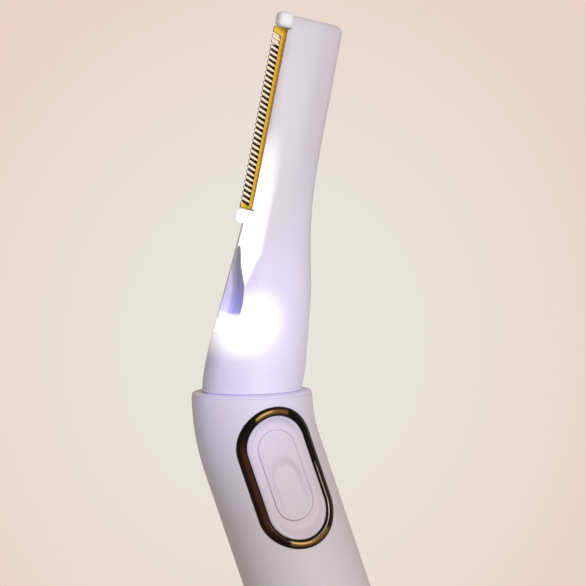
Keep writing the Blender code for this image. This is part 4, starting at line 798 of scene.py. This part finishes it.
lens = {"low": 0.0096, "high": 0.012, "right": -0.00515}
# the trough's painted shade runs up from a low height over a given span
trough = {"floor": 0.012, "back": 0.0004, "rounding": 0.0012, "outer": 0.03, "shadeLow": 0.0125,
          "shadeTall": 0.0135,
          "face": ((-0.0067, 0.0), (-0.0064, 0.003), (-0.0065, 0.0062), (-0.0074, 0.01), (-0.0078, 0.0142))}
blade = {"low": 0.0321, "high": 0.0656, "tip": 0.0093, "strip": 0.00775, "root": 0.0028, "groove": 0.0073,
         "front": 0.00175, "sheet": 0.0004, "slots": 33, "pitch": 0.000962, "slant": radians(21),
         "start": 0.00037, "taper": 0.00006}
blocks = {"left": -0.0092, "front": 0.00225, "back": 0.0006, "tall": 0.0023, "highLeft": -0.0088,
          "highRight": -0.0064, "highTop": 0.0686, "barTop": 0.0665, "corner": 0.0008, "line": 0.00004,
          "barLeft": -0.004, "barFront": -0.0012, "linkLeft": -0.0073, "linkFront": -0.0011}
seam, gap, fitSpace, beyond = 0.00015, 0.0003, 0.0001, 0.03


def betweenSections(sections, steps):
    # sections eased through each other, the given ones included
    given = [Vector(section) for section in sections]
    ends = [2 * given[0] - given[1], *given, 2 * given[-1] - given[-2]]
    eased = []
    for before, start, end, after in zip(ends, ends[1:], ends[2:], ends[3:]):
        for i in range(steps):
            t = i / steps
            eased.append(start + ((end - before) * t + (2 * before - 5 * start + 4 * end - after) * t ** 2
                                  + (3 * start - before - 3 * end + after) * t ** 3) / 2)
    return eased + [given[-1]]


def sectionRing(section, inset, steps):
    left, right = Vector((section[0], section[1])), Vector((section[2], section[3]))
    middle, way = (left + right) / 2, (right - left).normalized()
    halfWidth, halfDepth = (right - left).length / 2 - inset, section[4] - inset
    power = 2 / section[5]
    ring = []
    for i in range(steps):
        angle = 2 * pi * (i + 0.5) / steps
        spot = middle + way * halfWidth * abs(cos(angle)) ** power * (1 if cos(angle) > 0 else -1)
        depth = halfDepth * abs(sin(angle)) ** power * (1 if sin(angle) > 0 else -1)
        ring.append(armFrame @ Vector((spot.x, depth, spot.y)))
    return ring


def headSolid(inset=0.0, steps=headForm["steps"], between=headForm["between"]):
    sections = betweenSections(headSections, between)
    rings = [sectionRing(section, inset, steps) for section in sections]
    if inset:
        low = sections[0].copy()
        for i, drop in ((0, sin(lean)), (1, -cos(lean)), (2, sin(lean)), (3, -cos(lean))):
            low[i] += drop * 0.002
        return loft([sectionRing(low, inset, steps)] + rings)
    corner = headForm["corner"]
    for angle in (radians(10 * i) for i in range(1, 10)):
        shrunk = sections[-1].copy()
        inward = corner * (1 - cos(angle))
        shrunk[0] += inward / 2
        shrunk[2] -= inward
        shrunk[1] = shrunk[3] = headForm["top"] - corner * (1 - sin(angle))
        shrunk[4] -= inward / 2
        rings.append(sectionRing(shrunk, 0, steps))
    return loft(rings)


def troughShape(grow=0.0):
    face = [(x + grow, trough["floor"] + rise) for x, rise in trough["face"]]
    outline = [(-trough["outer"], trough["floor"] - grow), (face[0][0], trough["floor"] - grow)] + face[1:]
    top = face[-1][1] + grow
    if grow:
        outline.append((face[-1][0], top))
    outline.append((-trough["outer"], top))
    bm = loft([[armFrame @ Vector((x, depth, z)) for x, z in outline]
               for depth in (-trough["outer"], trough["back"] + grow)])
    if not grow:
        edges = [edge for edge in bm.edges if edge.calc_face_angle(0) > radians(50)]
        roundEdges(bm, edges, trough["rounding"], 8)
    return bm


def bladeOpenings():
    left, right, line = -beyond, -blade["root"] + seam, blocks["line"]
    front, blockFront = -blade["front"] - seam, -blocks["front"] - line
    back, low = blocks["back"] + seam, blade["low"] - seam
    corners = {
        "blade_slot": ((left, front, blade["low"] - fitSpace), (right, 0, blade["high"] + fitSpace)),
        "link_slot": ((left, front, blade["high"]), (right, back, blocks["barTop"] + seam)),
        "low_slot": ((left, blockFront, low - blocks["tall"] - line), (right, back, low + 2 * seam)),
        "high_slot": ((left, blockFront, blade["high"] - seam),
                      (blocks["highRight"] + line, blocks["back"] + line, headForm["top"] + beyond)),
        "lens_slot": ((left, -beyond, lens["low"] - seam),
                      (lens["right"] + seam, trough["back"] + gap, lens["high"] + line)),
    }
    return [piece(name, block(low, high)) for name, (low, high) in corners.items()]


def headShells():
    half = headForm["seam"] / 2
    # the trough's cut faces take its painted shade
    pocketPaintedShade = troughPaintedShade()
    for name, body, front, back in (("head_front", "head_front_shell", -beyond, -half),
                                    ("head_back", "head_back_shell", half, beyond)):
        shell = piece(name, headSolid(), headPlastic)
        hollow = piece("hollow", headSolid(headForm["wall"], 60, 4))
        carve(hollow, [("DIFFERENCE", piece("trough_wall", troughShape(headForm["wall"])))])
        side = piece("side", block((-beyond, front, -beyond), (beyond, back, headForm["top"] + beyond)))
        pocket = piece("pocket", troughShape(), pocketPaintedShade)
        openings, *others = bladeOpenings()
        carve(openings, [("UNION", other) for other in others])
        carve(shell, [("DIFFERENCE", hollow), ("INTERSECT", side), ("DIFFERENCE", pocket),
                      ("DIFFERENCE", openings)])
        followLip(shell)
        fit(shell, "head", body)


def cornerLens():
    corner = block((-beyond, -beyond, lens["low"]), (lens["right"], trough["back"] - seam, lens["high"]))
    obj = piece("corner_lens", headSolid(), lensClear)
    carve(obj, [("INTERSECT", piece("corner", corner))])
    fit(obj, "head", "led_lens")


def toothedSheet(name, shape, finish, body, node):
    # a strip whose left edge is drawn out into slanted teeth, then given its thickness
    marks = [shape["low"]]
    for i in range(shape["slots"]):
        middle = blade["low"] + blade["start"] + blade["pitch"] * (i + 0.5 + shape["phase"])
        marks += [middle - shape["slot"] / 2, middle + shape["slot"] / 2]
    marks.append(shape["high"])
    bm = bmesh.new()
    bmesh.ops.create_grid(bm, x_segments=1, y_segments=len(marks) - 1, size=0.5)
    rows = sorted({round(vert.co.y, 6) for vert in bm.verts})
    for vert in bm.verts:
        across = -shape["root"] if vert.co.x > 0 else -shape["strip"]
        vert.co = (across, shape["front"], marks[rows.index(round(vert.co.y, 6))])
    edges = [edge for edge in bm.edges
             if all(abs(vert.co.x + shape["strip"]) < 1e-7 for vert in edge.verts)]
    edges.sort(key=lambda edge: edge.verts[0].co.z + edge.verts[1].co.z)
    rise = (shape["tip"] - shape["strip"]) * tan(blade["slant"])
    for edge in edges[::2]:
        for vert in madeVerts(bmesh.ops.extrude_edge_only(bm, edges=[edge])):
            vert.co.x = -shape["tip"]
            if shape["low"] + 1e-7 < vert.co.z < shape["high"] - 1e-7:
                above = vert.co.z > (edge.verts[0].co.z + edge.verts[1].co.z) / 2
                vert.co.z += rise + (shape["taper"] if above else -shape["taper"])
    behind = madeVerts(bmesh.ops.extrude_face_region(bm, geom=bm.faces[:]))
    bmesh.ops.translate(bm, vec=(0, shape["sheet"], 0), verts=behind)
    bmesh.ops.recalc_face_normals(bm, faces=bm.faces)
    rims = [edge for edge in bm.edges if edge.calc_face_angle(0) > radians(50)
            and max(abs(vert.co.y - shape["front"]) for vert in edge.verts) < 1e-7]
    roundEdges(bm, rims, shape["bevel"], 2)
    bmesh.ops.transform(bm, matrix=armFrame, verts=bm.verts)
    obj = piece(name, bm, finish, 30)
    fit(obj, body, node)


combShape = {"low": blade["low"], "high": blade["high"], "root": blade["root"], "strip": blade["strip"],
             "tip": blade["tip"], "front": -blade["front"], "sheet": blade["sheet"], "bevel": 0.00005,
             "phase": 0.0, "slots": blade["slots"], "slot": 0.0006, "taper": blade["taper"]}
cutterShape = {"low": 0.0326, "high": 0.0623, "root": 0.0042, "strip": 0.00785, "tip": 0.009,
               "front": -0.0012, "sheet": 0.00035, "bevel": 0.00004, "phase": 0.5, "slots": 30,
               "slot": 0.0003, "taper": -0.00004}


def bladeMoulding():
    # an upright bar behind the comb, a block at each end and a link between the bar and the upper block
    low, high = blade["low"] - seam - blocks["tall"], blade["high"] + seam
    front, back, top, corner = -blocks["front"], blocks["back"], blocks["barTop"], blocks["corner"]
    bar = block((blocks["barLeft"], blocks["barFront"], low + seam),
                (-blade["root"] - seam, back - seam, top))
    lower = block((blocks["left"], front, low), (-blade["root"], back, low + blocks["tall"]), corner)
    upper = block((blocks["highLeft"], front, high), (blocks["highRight"], back, blocks["highTop"]),
                  corner)
    link = block((blocks["linkLeft"], blocks["linkFront"], high + seam),
                 (-blade["root"] - 2 * seam, back - 2 * seam, top - fitSpace))
    obj = piece("blade_moulding", bar, blockPlastic)
    parts = (("lower", lower), ("upper", upper), ("link", link))
    carve(obj, [("UNION", piece(name, part)) for name, part in parts])
    fit(obj, "head", "blade_frame")


headShells()
cornerLens()
toothedSheet("gold_comb", combShape, goldPlatingPaintedLight(), "head", "comb_blade")
toothedSheet("dark_cutter", cutterShape, darkSteel, "cutter", "cutter_blade")
bladeMoulding()
print("head, lens and blades made")


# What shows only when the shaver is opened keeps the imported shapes, merged and with softened edges
innerPieces = {
    "chassis": (innerPlastic, 0.00012), "head_spigot": (innerPlastic, 0.00008),
    "cutter_carrier": (innerPlastic, 0.0001), "drive_lever": (innerPlastic, 0.0001),
    "switch_body": (rubber, 0.0001), "switch_plunger": (rubber, 0.0001),
    "motor_end_bell": (innerPlastic, 0.0001), "motor_can": (brightSteel, 0.00015),
    "motor_shaft": (brightSteel, 0.00004), "crank": (brightSteel, 0.00008),
    "lever_pin": (brightSteel, 0.00006),
    "board_screw_left": (brightSteel, 0.00005), "board_screw_right": (brightSteel, 0.00005),
    "cap_contact": (brightSteel, 0.00004), "negative_contact": (brightSteel, 0.00004),
    "positive_contact": (brightSteel, 0.00004), "battery_spring": (brightSteel, 0.0),
    "pressure_spring": (brightSteel, 0.0), "battery_cell": (sleeve, 0.00015),
    "circuit_board": (lacquer, 0.00006), "led_lamp": (lensClear, 0.00004), "led_lead": (lead, 0.0),
    "motor_lead": (lead, 0.0), "cap_seal": (rubber, 0.0), "neck_seal": (rubber, 0.0),
}
bodies = frame["record"]["behaviour"]["bodies"]
bodyOf = {member: body for body, members in bodies.items() for member in members}


def innerPiece(name, finish, rounding):
    bm = bmesh.new()
    bm.from_mesh(nodes[name].data)
    bmesh.ops.remove_doubles(bm, verts=bm.verts, dist=1e-6)
    obj = piece(name + "_piece", bm, finish, 40)
    if rounding:
        softEdges(obj, rounding)
    fit(obj, bodyOf[name], name)


for name, (finish, rounding) in innerPieces.items():
    innerPiece(name, finish, rounding)
print("inner pieces made")


# Camera, lamps, floor and backdrop
shot = {"target": collarMiddle, "azimuth": radians(-18.3), "elevation": radians(6.3), "roll": radians(18.64),
        "distance": 0.7, "wide": 0.1057, "offset": (0.00743, 0.01796)}


def cameraAxes():
    a, e, r = shot["azimuth"], shot["elevation"], shot["roll"]
    back = Vector((sin(a) * cos(e), -cos(a) * cos(e), sin(e)))
    right = Vector((cos(a), sin(a), 0))
    up = back.cross(right)
    return right * cos(r) - up * sin(r), right * sin(r) + up * cos(r), back


def placeCamera():
    right, up, back = cameraAxes()
    camera = bpy.data.objects.new("camera", bpy.data.cameras.new("camera"))
    bpy.context.scene.collection.objects.link(camera)
    camera.data.sensor_width = 36
    camera.data.lens = 36 * shot["distance"] / shot["wide"]
    aim = shot["target"] + right * shot["offset"][0] + up * shot["offset"][1]
    turn = Matrix((right, up, back)).transposed().to_4x4()
    camera.matrix_world = Matrix.Translation(aim + back * shot["distance"]) @ turn
    camera.data.clip_start, camera.data.clip_end = 0.05, 20
    bpy.context.scene.camera = camera


def lamp(name, bearing, rise, distance, size, power):
    # a soft box at a bearing and a rise seen from the collar
    light = bpy.data.lights.new(name, "AREA")
    light.shape = "RECTANGLE"
    light.size, light.size_y = size
    light.energy = power
    obj = bpy.data.objects.new(name, light)
    bpy.context.scene.collection.objects.link(obj)
    way = Vector((sin(bearing) * cos(rise), -cos(bearing) * cos(rise), sin(rise)))
    turn = (-way).to_track_quat("-Z", "Y").to_matrix().to_4x4()
    obj.matrix_world = Matrix.Translation(collarMiddle + way * distance) @ turn


def shownRays(finish):
    # 1 where the camera, a reflection or clear plastic looks at it, 0 where it lights the object
    path = {name: finish.add("ShaderNodeLightPath", {}, {}, name)
            for name in ("Is Camera Ray", "Is Glossy Ray", "Is Transmission Ray")}
    return (path["Is Camera Ray"] + path["Is Glossy Ray"] + path["Is Transmission Ray"]).clamped()


backdrop = {"size": 40.0, "middle": linear(243, 238, 228), "edge": linear(243, 218, 205), "spread": 109.0,
            "lit": 0.88, "paper": linear(232, 232, 234), "fill": (1.0, 0.985, 1.0, 1.0),
            "fillStrength": 0.28, "sky": linear(234, 212, 199)}


def paleFloor():
    # one wide sheet with a paler patch, which widens away from a point in front of the object
    bm = bmesh.new()
    bmesh.ops.create_grid(bm, x_segments=1, y_segments=1, size=backdrop["size"])
    finish = Finish("floor_paper")
    turned = finish.add("ShaderNodeMapping", {"vector_type": "TEXTURE"}, {
        "Vector": finish.spot(), "Rotation": (0, 0, shot["azimuth"]),
        "Location": (shot["distance"] * sin(shot["azimuth"]), -shot["distance"] * cos(shot["azimuth"]), 0)})
    x, y, z = finish.parts(turned)
    height = shot["target"].z + shot["distance"] * sin(shot["elevation"])
    away = y.above(0.01)
    side = x / away
    drop = height / away - tan(shot["elevation"])
    pink = ((side ** 2.0 + drop ** 2.0) * backdrop["spread"]).clamped()
    colour = finish.mix(pink, backdrop["middle"], backdrop["edge"])
    paper = finish.add("ShaderNodeBsdfDiffuse", {}, {"Color": backdrop["paper"]})
    lit = finish.add("ShaderNodeEmission", {}, {"Color": colour, "Strength": 1.0})
    share = shownRays(finish) * backdrop["lit"]
    finish.output(finish.add("ShaderNodeMixShader", {}, {0: share, 1: paper, 2: lit}))
    floor = piece("floor", bm, finish.material)


def paleWorld():
    world = bpy.data.worlds.new("studio")
    bpy.context.scene.world = world
    world.use_nodes = True
    finish = Finish("studio", world.node_tree)
    fill = finish.add("ShaderNodeBackground", {},
                      {"Color": backdrop["fill"], "Strength": backdrop["fillStrength"]})
    shown = finish.add("ShaderNodeBackground", {}, {"Color": backdrop["sky"], "Strength": 1.0})
    mixed = finish.add("ShaderNodeMixShader", {}, {0: shownRays(finish), 1: fill, 2: shown})
    finish.output(mixed, "ShaderNodeOutputWorld")


placeCamera()
lamp("key", radians(2), radians(9), 1.0, (0.6, 0.6), 5.9)
paleFloor()
paleWorld()
bpy.context.scene.view_settings.view_transform = "Standard"
print("stage ready")
